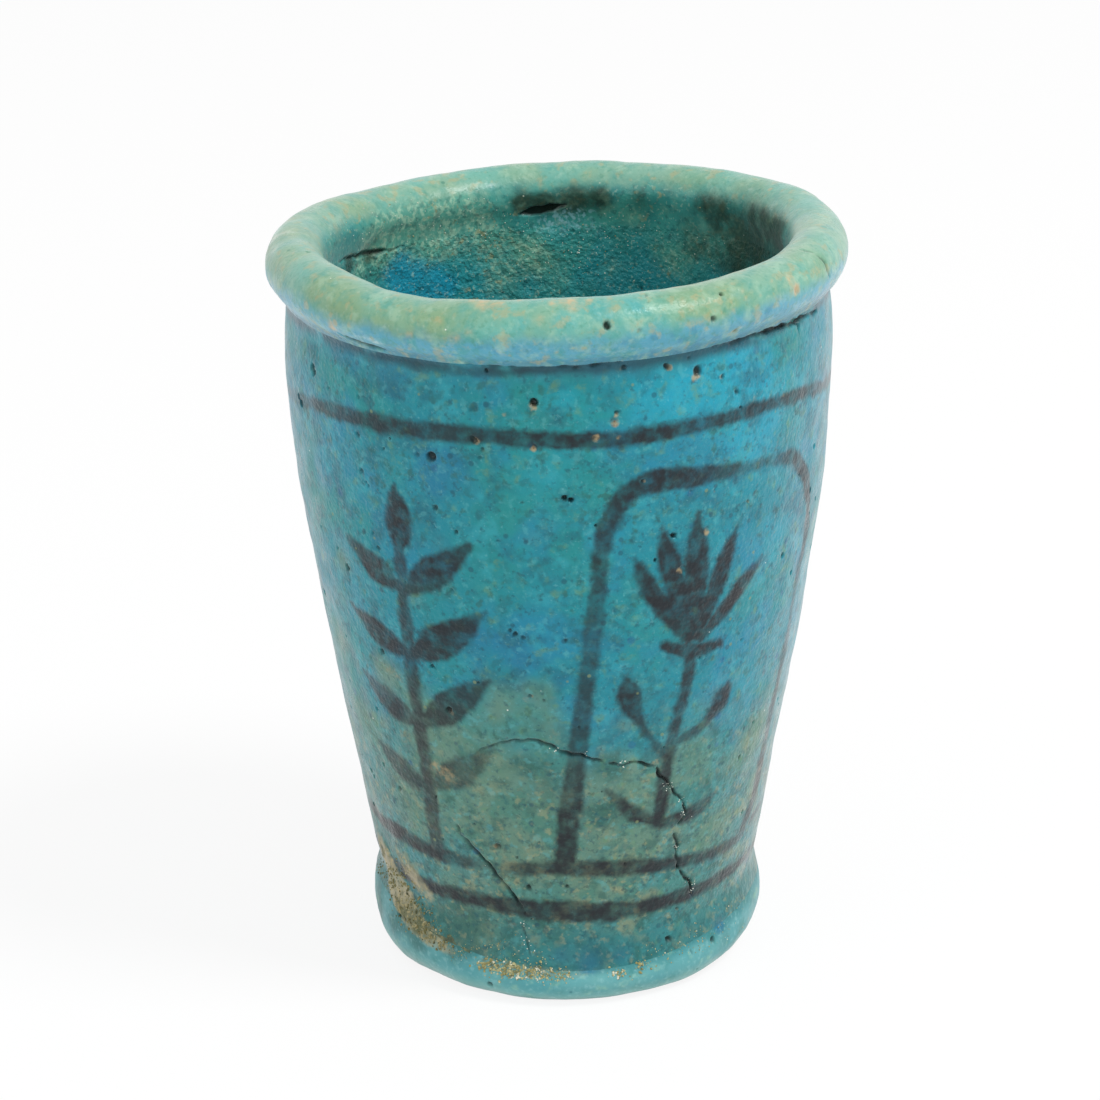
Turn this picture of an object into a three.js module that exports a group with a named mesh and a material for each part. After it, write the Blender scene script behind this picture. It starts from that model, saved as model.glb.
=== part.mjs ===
// Glazed faience offering cup: a tapered beaker with a rolled lip and a disc foot.
//
// Units are millimetres. +Z is up, and the origin is the middle of the underside, where the cup stands.
// The front of the cup faces -Y. The cup was shaped from quartz paste in three pieces, the body, the lip and
// the foot. Paste slurry joins them, and a coat of glaze covers them all but the underside.
// Every piece is turned from its own outline. Neighbouring outlines share points, so the faces meet.

import * as THREE from "three";
import { mergeGeometries } from "three/addons/utils/BufferGeometryUtils.js";

// Overall sizes
const cupHeight = 60;
const mouthRadius = 22.75;
const footRadius = 15.95;

// Glaze and slurry
const outerGlaze = 0.5;
const innerGlaze = 0.4;
const slurry = 0.3;

// Lip: a roll of paste, oval in section, laid on the top of the wall
const lipHeight = 5;
const lipHalfWidth = 2.3;
const lipOverhang = 1.6;
const lipStartAngle = -52;
const lipEndAngle = 218;
const ridgeHeight = 1.1;

// Wall, outside
const shoulderDrop = 7;
const shoulderSwell = 0.15;
const shoulderRound = 0.2;
const bellySwell = 0.5;
const bellyLean = 1.3; // above 1, the fullest part of the wall lies nearer the shoulder than the neck
const neckInset = 0.6;
const heelHeight = 2.1;

// Wall, inside
const wallAtLip = 2.6;
const wallAtFloor = 3.9;
const floorThickness = 4.8;
const floorFillet = 3.5;

// Foot: a disc with a rounded edge and a socket that takes the base of the body
const footHeight = 4.2;
const footBulgeHeight = 2.9;
const footEdgeRound = 2.7;
const footBevel = 0.55;
const footBareEdge = 0.6;
const socketDepth = 1.1;
const socketRim = 0.9;
const hollowDepth = 0.5;
const standingRing = 5;

// Sand that burial left in the groove above the foot
const sandProud = 0.45;
const sandLeftStartAngle = 194;
const sandLeftEndAngle = 238;
const sandFrontStartAngle = 246;
const sandFrontEndAngle = 300;

// Hand-made unevenness: how far the right of the mouth stands above its left, and the left of the foot's
// top above its right, and how far the front and back of both sag
const mouthRise = 0.8;
const mouthSag = 0.27;
const footTopRise = 0.9;
const footTopSag = 1.25;

// Fingers pressed the top of the lip down while it was soft. Each press has an angle round from the right, in
// degrees, a spread to each side over which it fades out, and a share of the depth.
const pressDepth = 0.6;
const presses = [
  { angle: 290, spread: 120, depthShare: 0.83 },
  { angle: 235, spread: 35, depthShare: 1 },
  { angle: 135, spread: 60, depthShare: 0.7 },
  { angle: 30, spread: 60, depthShare: 0.37 },
];

// Faceting: steps round the axis, and rows along each stretch of an outline
const turnSteps = 48;
const heelRows = 3;
const bellyRows = 7;
const shoulderRows = 3;
const cavityRows = 7;
const filletRows = 3;
const lipRows = 12;
const footEdgeRows = 5;

// Places worked out from the sizes above
const seatHeight = cupHeight - lipHeight;
const creaseRadius = mouthRadius - lipOverhang;
const shoulderHeight = seatHeight - shoulderDrop;
const shoulderRadius = creaseRadius + shoulderSwell;
const seamRadius = footEdgeRadius(footHeight);
const neckRadius = footRadius - neckInset;
const neckHeight = footHeight + heelHeight;
const floorHeight = footHeight + floorThickness;
const filletTop = floorHeight + floorFillet;
const cavityTopRadius = creaseRadius - wallAtLip;
const socketFloor = footHeight - socketDepth;
const socketRadius = seamRadius - outerGlaze - socketRim;
const lipCentre = new THREE.Vector2(mouthRadius - lipHalfWidth, cupHeight - lipHeight / 2);
const ridgeRadius = (creaseRadius - outerGlaze + cavityTopRadius + innerGlaze) / 2;

const point = (radius, height) => new THREE.Vector2(radius, height);
const { lerp, degToRad, radToDeg, euclideanModulo, smoothstep } = THREE.MathUtils;
const rows = (count, place) => Array.from({ length: count + 1 }, (_, i) => place(i / count));

// Radius of the foot's glazed edge at a height. The edge is part of an oval.
function footEdgeRadius(height) {
  const lift = Math.max(-1, Math.min(1, (height - footBulgeHeight) / footBulgeHeight));
  return footRadius - footEdgeRound * (1 - Math.sqrt(1 - lift * lift));
}

// Radius of the glazed outside at a share of one of the wall's three stretches
const heelRadius = (t) => lerp(seamRadius, neckRadius, smoothstep(t, 0, 1));
const bellyRadius = (t) =>
  lerp(neckRadius, shoulderRadius, t) + bellySwell * Math.sin(Math.PI * t ** bellyLean);
const collarRadius = (t) => lerp(shoulderRadius, creaseRadius, t) + 4 * shoulderRound * t * (1 - t);

function wallRadius(height) {
  if (height < neckHeight) return heelRadius((height - footHeight) / heelHeight);
  if (height < shoulderHeight) return bellyRadius((height - neckHeight) / (shoulderHeight - neckHeight));
  return collarRadius((height - shoulderHeight) / shoulderDrop);
}

function cavityRadius(height) {
  const t = (height - floorHeight) / (seatHeight - floorHeight);
  return wallRadius(height) - lerp(wallAtFloor, wallAtLip, t);
}

// Outline of the wall's outside from the foot up to the lip, set in by a depth
function wallOutline(depth) {
  const stretch = (count, from, to, radius) =>
    rows(count, (t) => point(radius(t) - depth, lerp(from, to, t)));
  return [
    ...stretch(heelRows, footHeight, neckHeight, heelRadius),
    ...stretch(bellyRows, neckHeight, shoulderHeight, bellyRadius).slice(1),
    ...stretch(shoulderRows, shoulderHeight, seatHeight, collarRadius).slice(1),
  ];
}

// Outline of the cavity from the middle of its floor up to the lip, sunk by a depth into the wall
function cavityOutline(depth) {
  const centre = point(cavityRadius(filletTop) - floorFillet, filletTop);
  const reach = floorFillet + depth;
  const fillet = rows(filletRows, (t) => {
    const angle = (t * Math.PI) / 2;
    return point(centre.x + reach * Math.sin(angle), centre.y - reach * Math.cos(angle));
  });
  const wall = rows(cavityRows, (t) => {
    const height = lerp(filletTop, seatHeight, t);
    return point(cavityRadius(height) + depth, height);
  });
  return [point(0, floorHeight - depth), ...fillet, ...wall.slice(1)];
}

// Outline of the lip from its outside round over the top to its inside, set in by a depth
function lipOutline(depth) {
  return rows(lipRows, (t) => {
    const angle = degToRad(lerp(lipStartAngle, lipEndAngle, t));
    return point(
      lipCentre.x + (lipHalfWidth - depth) * Math.cos(angle),
      lipCentre.y + (lipHeight / 2 - depth) * Math.sin(angle),
    );
  });
}

// Corners of the ridge along the top of the wall, raised by a slurry joint
const ridgeOuter = (lift) => point(creaseRadius - outerGlaze, seatHeight + lift);
const ridgeCrest = (lift) => point(ridgeRadius, seatHeight + ridgeHeight + lift);
const ridgeInner = (lift) => point(cavityTopRadius + innerGlaze, seatHeight + lift);
const ridgeOutline = (lift) => [ridgeOuter(lift), ridgeCrest(lift), ridgeInner(lift)];

// Outline of the foot's rounded edge from its bare lower rim up to the seam, set in by a depth
function footEdgeOutline(depth) {
  return rows(footEdgeRows, (t) => {
    const height = lerp(footBareEdge, footHeight, t);
    return point(footEdgeRadius(height) - depth, height);
  });
}

const bodyCoreOutline = [
  point(0, socketFloor + slurry),
  point(socketRadius - slurry, socketFloor + slurry),
  point(socketRadius - slurry, footHeight),
  point(socketRadius, footHeight),
  ...wallOutline(outerGlaze),
  ridgeCrest(0),
  ...cavityOutline(innerGlaze).reverse(),
];

const lipCoreOutline = [...lipOutline(outerGlaze), ...ridgeOutline(slurry).reverse()];

const lipSlurryOutline = [...ridgeOutline(slurry), ...ridgeOutline(0).reverse()];

const footSlurryOutline = [
  point(0, socketFloor),
  point(socketRadius, socketFloor),
  point(socketRadius, footHeight),
  point(socketRadius - slurry, footHeight),
  point(socketRadius - slurry, socketFloor + slurry),
  point(0, socketFloor + slurry),
];

const footBottomRadius = footEdgeRadius(footBareEdge) - outerGlaze - footBevel;
const footCoreOutline = [
  point(0, hollowDepth),
  point(footBottomRadius - standingRing - hollowDepth, hollowDepth),
  point(footBottomRadius - standingRing, 0),
  point(footBottomRadius, 0),
  ...footEdgeOutline(outerGlaze),
  point(socketRadius, footHeight),
  point(socketRadius, socketFloor),
  point(0, socketFloor),
];

const outerGlazeOutline = [...wallOutline(0), ...wallOutline(outerGlaze).reverse()];

const innerGlazeOutline = [...cavityOutline(innerGlaze), ...cavityOutline(0).reverse()];

const lipGlazeOutline = [
  point(creaseRadius, seatHeight),
  ...lipOutline(0),
  point(cavityTopRadius, seatHeight),
  ridgeInner(0),
  ridgeInner(slurry),
  ...lipOutline(outerGlaze).reverse(),
  ridgeOuter(slurry),
  ridgeOuter(0),
];

const footGlazeOutline = [...footEdgeOutline(0), ...footEdgeOutline(outerGlaze).reverse()];

// The sand lies against the last row of the foot's edge and the first rows of the wall
const [seamPoint, lastEdgePoint] = footEdgeOutline(0).reverse();
const [, firstHeelPoint, secondHeelPoint] = wallOutline(0);
const sandOutline = [
  lastEdgePoint,
  seamPoint,
  firstHeelPoint,
  secondHeelPoint,
  point(seamRadius + sandProud, footHeight),
];

// How deep the presses sink the top of the lip in the direction of a point
function pressedDepth(x, y) {
  const angle = radToDeg(Math.atan2(y, x));
  const depths = presses.map((press) => {
    const away = Math.abs(euclideanModulo(angle - press.angle + 180, 360) - 180);
    return press.depthShare * pressDepth * (1 - smoothstep(away, 0, press.spread));
  });
  return depths.reduce((sum, depth) => sum + depth, 0);
}

// Where the maker's hand left a point of the true shape. The underside and the cavity's floor stay flat.
function unevenHeight(x, y, height) {
  const lean = x / 2;
  const saddle = x * x - y * y;
  const mouthShare = smoothstep(height, filletTop, seatHeight);
  const mouthShift = mouthRise * (lean / mouthRadius) + mouthSag * (saddle / mouthRadius ** 2);
  const below = (height - hollowDepth) / (footHeight - hollowDepth);
  const above = (floorHeight - innerGlaze - height) / (floorHeight - innerGlaze - footHeight);
  const footShare = Math.max(0, Math.min(below, above));
  const footShift = footTopSag * (saddle / seamRadius ** 2) - footTopRise * (lean / seamRadius);
  const lipShare = Math.max(0, (height - seatHeight) / lipHeight);
  return height + mouthShare * mouthShift + footShare * footShift - lipShare * pressedDepth(x, y);
}

function makeUneven(geometry) {
  const places = geometry.getAttribute("position");
  for (let i = 0; i < places.count; i += 1) {
    const [x, y, z] = [places.getX(i), places.getY(i), places.getZ(i)];
    places.setZ(i, unevenHeight(x, y, z));
  }
  geometry.computeVertexNormals();
  return geometry;
}

// A closed outline turned about the Y axis. Each facet is split along the diagonal from the higher end of its
// stretch of outline, so that two pieces that share a stretch are split alike.
function lathe(outline, steps, start, sweep) {
  const loop = THREE.ShapeUtils.isClockWise(outline) ? [...outline].reverse() : [...outline];
  const profile = [...loop, loop[0]];
  const geometry = new THREE.LatheGeometry(profile, steps, start, sweep);
  const triangles = [];
  const ends = profile.slice(1);
  for (let i = 0; i < steps; i += 1) {
    loop.forEach((from, j) => {
      const to = ends[j];
      const a = i * profile.length + j;
      const b = a + profile.length;
      const rising = to.y > from.y || (to.y === from.y && to.x > from.x);
      triangles.push(...(rising ? [a, b, a + 1, b + 1, a + 1, b] : [a, b, b + 1, a, b + 1, a + 1]));
    });
  }
  geometry.setIndex(triangles);
  return { geometry, loop };
}

// A closed outline turned right round the Z axis
function turned(outline) {
  const { geometry } = lathe(outline, turnSteps, 0, 2 * Math.PI);
  return makeUneven(geometry.rotateX(Math.PI / 2));
}

// A closed outline turned through part of a circle on the same facets, with flat ends
function turnedPart(outline, startAngle, endAngle) {
  const stepAngle = 360 / turnSteps;
  const first = Math.round((startAngle + 90) / stepAngle);
  const last = Math.max(first + 1, Math.round((endAngle + 90) / stepAngle));
  const sweep = degToRad((last - first) * stepAngle);
  const { geometry, loop } = lathe(outline, last - first, degToRad(first * stepAngle), sweep);
  const cap = (step, turnedOver) => {
    const face = new THREE.ShapeGeometry(new THREE.Shape(loop));
    if (turnedOver) face.setIndex([...face.index.array].reverse());
    return face.rotateY(degToRad(step * stepAngle - 90));
  };
  const pieces = [geometry, cap(first, false), cap(last, true)].map((piece) => piece.toNonIndexed());
  return makeUneven(mergeGeometries(pieces).rotateX(Math.PI / 2));
}

const paste = new THREE.MeshStandardMaterial({ color: 0xcdbf9f, roughness: 0.95, metalness: 0 });
const joint = new THREE.MeshStandardMaterial({ color: 0xb9ab8a, roughness: 0.95, metalness: 0 });
const turquoise = new THREE.MeshStandardMaterial({ color: 0x3a8795, roughness: 0.4, metalness: 0 });
const deepTurquoise = new THREE.MeshStandardMaterial({ color: 0x2c6f6f, roughness: 0.5, metalness: 0 });
const celadon = new THREE.MeshStandardMaterial({ color: 0x90b9a4, roughness: 0.4, metalness: 0 });
const skyBlue = new THREE.MeshStandardMaterial({ color: 0x5fa3ab, roughness: 0.35, metalness: 0 });
const sand = new THREE.MeshStandardMaterial({ color: 0xa69a70, roughness: 1, metalness: 0 });

const cup = new THREE.Group();

function add(name, geometry, material) {
  const mesh = new THREE.Mesh(geometry, material);
  mesh.name = name;
  cup.add(mesh);
}

add("body_core", turned(bodyCoreOutline), paste);
add("lip_core", turned(lipCoreOutline), paste);
add("foot_core", turned(footCoreOutline), paste);
add("lip_slurry", turned(lipSlurryOutline), joint);
add("foot_slurry", turned(footSlurryOutline), joint);
add("outer_glaze", turned(outerGlazeOutline), turquoise);
add("inner_glaze", turned(innerGlazeOutline), deepTurquoise);
add("lip_glaze", turned(lipGlazeOutline), celadon);
add("foot_glaze", turned(footGlazeOutline), skyBlue);
add("sand_left", turnedPart(sandOutline, sandLeftStartAngle, sandLeftEndAngle), sand);
add("sand_front", turnedPart(sandOutline, sandFrontStartAngle, sandFrontEndAngle), sand);

export default cup;
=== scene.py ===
"""A small glazed faience offering cup on a pale floor, in soft studio light.

Sizes are millimetres until a mesh is finished, and metres after that. The front of the cup faces -Y.
A place on the front is given as a pixel of the photograph, 1100 x 1100. Its sight line is followed to
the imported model, so the place sits on the cup seen from any side.
"""

import math
import random
from collections import namedtuple

import bmesh
import bpy
import numpy as np
from mathutils import Matrix, Vector, noise
from mathutils.bvhtree import BVHTree


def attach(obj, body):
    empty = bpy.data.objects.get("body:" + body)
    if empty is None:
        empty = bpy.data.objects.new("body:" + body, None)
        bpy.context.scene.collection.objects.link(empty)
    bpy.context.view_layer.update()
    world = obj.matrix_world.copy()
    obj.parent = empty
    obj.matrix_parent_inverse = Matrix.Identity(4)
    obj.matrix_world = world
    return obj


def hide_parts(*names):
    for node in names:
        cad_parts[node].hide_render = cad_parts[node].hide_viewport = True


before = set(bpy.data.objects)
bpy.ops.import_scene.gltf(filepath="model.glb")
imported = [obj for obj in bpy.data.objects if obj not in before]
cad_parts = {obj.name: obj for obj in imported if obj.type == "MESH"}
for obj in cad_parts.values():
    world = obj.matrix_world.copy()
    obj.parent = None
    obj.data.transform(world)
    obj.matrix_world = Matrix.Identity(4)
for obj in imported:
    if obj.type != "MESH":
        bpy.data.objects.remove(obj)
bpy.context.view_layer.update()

MM = 0.001
BODY = "root"

# Glazed outline, in the sizes of the construction
LIP_TOP = 60.0
SEAT_Z = 55.0
MOUTH_R = 22.75
LIP_HALF_W = 2.3
LIP_OVERHANG = 1.6
LIP_START = -52
LIP_END = 218
SHOULDER_DROP = 7.0
SHOULDER_SWELL = 0.15
SHOULDER_ROUND = 0.2
BELLY_SWELL = 0.5
BELLY_LEAN = 1.3
NECK_INSET = 0.6
HEEL_H = 2.1
WALL_AT_LIP = 2.6
WALL_AT_FLOOR = 3.9
FLOOR_Z = 9.0
FLOOR_FILLET = 3.5
FOOT_R = 15.95
FOOT_H = 4.2
FOOT_BULGE_Z = 2.9
FOOT_ROUND = 2.7
FOOT_BARE = 0.6
FOOT_BEVEL = 0.55
HOLLOW_Z = 0.5
STANDING_RING = 5.0
SOCKET_RIM = 0.9
SOCKET_Z = 3.1
OUTER_GLAZE = 0.5
INNER_GLAZE = 0.4
COAT_GAP = 0.04

# Hand-made unevenness, in the sizes of the construction
MOUTH_RISE = 0.8
MOUTH_SAG = 0.27
FOOT_TOP_RISE = 0.9
FOOT_TOP_SAG = 1.25

# Fingers pressed the top of the lip down: angle round from the right, spread to each side, share of the depth
PRESS_DEPTH = 0.6
PRESSES = [(290, 120, 0.83), (235, 35, 1), (135, 60, 0.7), (30, 60, 0.37)]

# How much softer the glaze leaves the corners where its stretches begin
SOFTENINGS = {"wall": 0.5, "lip": 0.9, "cavity": 0.9}

# Fineness of the meshes
FINE = 0.42
TURN_STEPS = 320
HIDDEN_EVERY = 10

# Camera of the photograph
PHOTO_PX = 1100
FOCAL_PX = 3727
CAMERA_AT = Vector((0, -283, 133.1))
CAMERA_YAW = -0.19
CAMERA_PITCH = 19.52
CAMERA_ROLL = 1.04
SENSOR_W = 36


# Camera and sight lines

def camera_axes():
    """The camera's right, up and forward directions."""
    yaw, pitch, roll = (math.radians(a) for a in (CAMERA_YAW, CAMERA_PITCH, CAMERA_ROLL))
    ahead = Vector((math.sin(yaw), math.cos(yaw), 0))
    level = Vector((math.cos(yaw), -math.sin(yaw), 0))
    plumb = Vector((0, 0, 1))
    forward = ahead * math.cos(pitch) - plumb * math.sin(pitch)
    rise = ahead * math.sin(pitch) + plumb * math.cos(pitch)
    right = level * math.cos(roll) - rise * math.sin(roll)
    up = level * math.sin(roll) + rise * math.cos(roll)
    return right, up, forward


def make_camera():
    right, up, forward = camera_axes()
    data = bpy.data.cameras.new("camera")
    data.sensor_width = SENSOR_W
    data.lens = FOCAL_PX / PHOTO_PX * SENSOR_W
    data.clip_start = 10 * MM
    camera = bpy.data.objects.new("camera", data)
    axes = Matrix((right, up, -forward)).transposed().to_4x4()
    camera.matrix_world = Matrix.Translation(CAMERA_AT * MM) @ axes
    bpy.context.scene.collection.objects.link(camera)
    bpy.context.scene.camera = camera


def surface_of(*meshes):
    """Some meshes as one surface that a sight line can meet."""
    corners, faces = [], []
    for mesh in meshes:
        first = len(corners)
        corners += [corner.co / MM for corner in mesh.vertices]
        faces += [[first + i for i in face.vertices] for face in mesh.polygons]
    return BVHTree.FromPolygons(corners, faces)


COATS = ("outer_glaze", "inner_glaze", "lip_glaze", "foot_glaze")
GLAZED = surface_of(*(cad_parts[coat].data for coat in COATS))


def seen_at(x_px, y_px, *surfaces):
    """The point of the surfaces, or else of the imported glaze, that the photograph shows at a pixel."""
    right, up, forward = camera_axes()
    middle = PHOTO_PX / 2
    line = forward * FOCAL_PX + right * (x_px - middle) - up * (y_px - middle)
    met = [surface.ray_cast(CAMERA_AT, line.normalized()) for surface in surfaces or (GLAZED,)]
    return min((hit for hit in met if hit[0]), key=lambda hit: hit[3], default=(None,))[0]


def round_at(angle, height):
    """The point of the outside at an angle round from the right of the cup and at a height."""
    out = Vector((math.cos(math.radians(angle)), math.sin(math.radians(angle)), 0))
    return GLAZED.ray_cast(out * 2 * MOUTH_R + Vector((0, 0, height)), -out)[0]


# Outline of the glazed surface

def lerp(a, b, t):
    return a + (b - a) * t


def eased(t):
    """Rises smoothly from 0 to 1 as t does."""
    t = np.clip(t, 0, 1)
    return t * t * (3 - 2 * t)


CREASE_R = MOUTH_R - LIP_OVERHANG
SHOULDER_Z = SEAT_Z - SHOULDER_DROP
SHOULDER_R = CREASE_R + SHOULDER_SWELL
NECK_R = FOOT_R - NECK_INSET
NECK_Z = FOOT_H + HEEL_H
FILLET_Z = FLOOR_Z + FLOOR_FILLET


def foot_edge_r(height):
    lift = min(1, max(-1, (height - FOOT_BULGE_Z) / FOOT_BULGE_Z))
    return FOOT_R - FOOT_ROUND * (1 - math.sqrt(1 - lift * lift))


def wall_r(height):
    if height < NECK_Z:
        return lerp(foot_edge_r(FOOT_H), NECK_R, float(eased((height - FOOT_H) / HEEL_H)))
    if height < SHOULDER_Z:
        t = (height - NECK_Z) / (SHOULDER_Z - NECK_Z)
        return lerp(NECK_R, SHOULDER_R, t) + BELLY_SWELL * math.sin(math.pi * t**BELLY_LEAN)
    t = (height - SHOULDER_Z) / SHOULDER_DROP
    return lerp(SHOULDER_R, CREASE_R, t) + 4 * SHOULDER_ROUND * t * (1 - t)


def cavity_r(height):
    t = (height - FLOOR_Z) / (SEAT_Z - FLOOR_Z)
    return wall_r(height) - lerp(WALL_AT_FLOOR, WALL_AT_LIP, t)


def along(count, place):
    return [place(i / count) for i in range(count + 1)]


def outline_stretches():
    """Close points along each stretch of the glazed outline: up the outside, over the lip, down inside."""
    lip_z = (LIP_TOP + SEAT_Z) / 2
    lip_r = MOUTH_R - LIP_HALF_W

    def lip(t):
        angle = math.radians(lerp(LIP_START, LIP_END, t))
        return lip_r + LIP_HALF_W * math.cos(angle), lip_z + (LIP_TOP - lip_z) * math.sin(angle)

    def fillet(t):
        angle = math.pi / 2 * (1 - t)
        centre_r = cavity_r(FILLET_Z) - FLOOR_FILLET
        return centre_r + FLOOR_FILLET * math.sin(angle), FILLET_Z - FLOOR_FILLET * math.cos(angle)

    def upright(radius, low, high):
        return lambda t: (radius(lerp(low, high, t)), lerp(low, high, t))

    floor_r = cavity_r(FILLET_Z) - FLOOR_FILLET
    return {
        "foot": along(60, upright(foot_edge_r, FOOT_BARE, FOOT_H)),
        "wall": along(600, upright(wall_r, FOOT_H, SEAT_Z)),
        "lip": [(CREASE_R, SEAT_Z), *along(200, lip), (CREASE_R - WALL_AT_LIP, SEAT_Z)],
        "cavity": [
            *along(500, upright(cavity_r, SEAT_Z, FILLET_Z)),
            *along(60, fillet)[1:],
            *along(100, lambda t: (floor_r * (1 - t), FLOOR_Z))[1:],
        ],
    }


def evenly(points, step):
    """The points of a polyline at even distances along it, ends kept."""
    points = np.array(points)
    travel = np.append(0, np.cumsum(np.linalg.norm(np.diff(points, axis=0), axis=1)))
    at = np.linspace(0, travel[-1], max(2, round(travel[-1] / step)) + 1)
    return np.column_stack([np.interp(at, travel, points[:, k]) for k in (0, 1)])


def soften(points, middle, step, reach):
    """Rounds a corner of the outline, over a reach along it to each side of a middle point."""
    offsets = (np.arange(len(points)) - middle) * step
    weight = np.exp(-(offsets / (3 * reach)) ** 2)[1:-1, None]
    for _ in range(round((reach / step) ** 2)):
        points[1:-1] += 0.5 * weight * ((points[:-2] + points[2:]) / 2 - points[1:-1])
    return points


def glazed_outline():
    """Places and outward directions at even steps of the glazed outline, and the ends of its stretches."""
    step = FINE / 6
    rows, ends = [], {}
    for name, stretch in outline_stretches().items():
        part = evenly(stretch, FINE)
        ends[name] = (sum(map(len, rows)), sum(map(len, rows)) + len(part) - 1)
        rows.append(part[:-1] if name != "cavity" else part)
    coarse = np.vstack(rows)
    travel = np.append(0, np.cumsum(np.linalg.norm(np.diff(coarse, axis=0), axis=1)))
    fine = evenly(coarse, step)
    fine_step = travel[-1] / (len(fine) - 1)
    for name, reach in SOFTENINGS.items():
        fine = soften(fine, travel[ends[name][0]] / fine_step, fine_step, reach)
    at = np.linspace(0, travel[-1], len(fine))
    places = np.column_stack([np.interp(travel, at, fine[:, k]) for k in (0, 1)])
    places[-1, 0] = 0
    run = np.gradient(places, axis=0)
    out = np.column_stack([run[:, 1], -run[:, 0]])
    return places, out / np.linalg.norm(out, axis=1)[:, None], ends


OUTLINE, OUTWARD, STRETCHES = glazed_outline()


def towards(x, y, directions):
    """The sum of the shares in each point's direction. A direction is (angle, spread to each side, share)."""
    angle = np.degrees(np.arctan2(y, x))
    total = np.zeros(len(x))
    for middle, spread, share in directions:
        away = np.abs((angle - middle + 180) % 360 - 180)
        total += share * (1 - eased(away / spread))
    return total


def uneven(points):
    """Moves true, turned points to where the maker's hand left them, as the construction does."""
    x, y, z = points[:, 0], points[:, 1], points[:, 2]
    saddle = x * x - y * y
    rise = eased((z - FILLET_Z) / (SEAT_Z - FILLET_Z))
    seam_r = foot_edge_r(FOOT_H)
    mouth = MOUTH_RISE * x / 2 / MOUTH_R + MOUTH_SAG * saddle / MOUTH_R**2
    below = (z - HOLLOW_Z) / (FOOT_H - HOLLOW_Z)
    above = (FLOOR_Z - INNER_GLAZE - z) / (FLOOR_Z - INNER_GLAZE - FOOT_H)
    standing = np.clip(np.minimum(below, above), 0, None)
    foot = FOOT_TOP_SAG * saddle / seam_r**2 - FOOT_TOP_RISE * x / 2 / seam_r
    lip = np.clip((z - SEAT_Z) / (LIP_TOP - SEAT_Z), 0, None)
    moved = points.copy()
    moved[:, 2] = z + rise * mouth + standing * foot - lip * PRESS_DEPTH * towards(x, y, PRESSES)
    return moved


# Lines and spots on the surface

FAR = 9.0


def smooth_line(knots, step=0.6):
    """Close points along a smooth line through the knots. Every column is carried along, also the widths."""
    knots = np.array(knots, float)
    padded = np.vstack([2 * knots[0] - knots[1], knots, 2 * knots[-1] - knots[-2]])
    pieces = []
    for a, b, c, d in zip(padded, padded[1:], padded[2:], padded[3:]):
        count = max(2, int(np.linalg.norm((c - b)[:3]) / step))
        t = np.linspace(0, 1, count, endpoint=False)[:, None]
        curve = 2 * b + (c - a) * t + (2 * a - 5 * b + 4 * c - d) * t**2
        pieces.append((curve + (3 * b - a - 3 * c + d) * t**3) / 2)
    return np.vstack([*pieces, knots[-1:]])


def line_seen(stroke):
    """A smooth line through photographed places, each (x pixel, y pixel, values carried along)."""
    return smooth_line([(*seen_at(x, y), *rest) for x, y, *rest in stroke])


def line_distance(points, line):
    """Distance of each point from the edge of a line, less than zero inside it, and the line's value there.

    The line's columns are x, y, z, half its width and that value.
    """
    distance = np.full(len(points), FAR)
    value = np.zeros(len(points))
    low, high = line[:, :3].min(0) - FAR / 3, line[:, :3].max(0) + FAR / 3
    near = np.flatnonzero(((points > low) & (points < high)).all(1))
    close = points[near]
    best = np.full(len(near), FAR)
    kept = np.zeros(len(near))
    for a, b in zip(line, line[1:]):
        run = (b - a)[:3]
        t = np.clip((close - a[:3]) @ run / max(run @ run, 1e-9), 0, 1)
        gap = np.linalg.norm(close - a[:3] - t[:, None] * run, axis=1) - lerp(a[3], b[3], t)
        closer = gap < best
        best[closer] = gap[closer]
        kept[closer] = lerp(a[-1], b[-1], t)[closer]
    distance[near], value[near] = best, kept
    return distance, value


def lines_distance(points, lines):
    """The least distance of each point from any of the lines, and that line's value."""
    distance = np.full(len(points), FAR)
    value = np.zeros(len(points))
    for line in lines:
        gap, worth = line_distance(points, line)
        closer = gap < distance
        distance[closer], value[closer] = gap[closer], worth[closer]
    return distance, value


def spots_cover(points, spots):
    """How much the soft spots cover each point, from 0 to 1. A spot is (place, radius, strength)."""
    bare = np.ones(len(points))
    for place, radius, strength in spots:
        away = np.linalg.norm(points - np.array(place), axis=1) / radius
        bare *= 1 - strength * np.exp(-away * away * 1.5)
    return 1 - bare


def unevenness(points, size, seed):
    """Smooth noise from about -1 to 1, with lumps of a size."""
    shift = Vector((seed * 17.3, seed * 5.1, seed * 29.7))
    return np.array([noise.noise(Vector(p) / size + shift) for p in points])


# Painted bands, ornament and painted shade: x pixel, y pixel, half width in mm, strength of the paint

UPPER_BAND = [
    (296, 396, 0.5, 0.5), (310, 402, 0.56, 0.75), (350, 415, 0.67, 0.85), (400, 427, 0.73, 0.95),
    (450, 433, 0.69, 0.9), (500, 437, 0.62, 0.95), (560, 441, 0.67, 1), (610, 439, 0.67, 1),
    (660, 432, 0.65, 1), (700, 424, 0.6, 0.95), (750, 410, 0.6, 0.95), (800, 393, 0.56, 0.9),
    (826, 378, 0.5, 0.8),
]
LOWER_BAND = [
    (376, 810, 0.56, 0.9), (385, 822, 0.67, 1), (400, 832, 0.78, 1), (430, 849, 0.73, 1),
    (470, 861, 0.56, 0.75), (500, 866, 0.39, 0.35), (530, 868, 0.67, 0.9), (565, 868, 0.73, 1),
    (600, 868, 0.73, 1), (640, 866, 0.67, 1), (680, 861, 0.56, 0.95), (715, 851, 0.56, 0.9),
    (738, 836, 0.5, 0.9), (752, 815, 0.45, 0.8),
]
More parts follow.
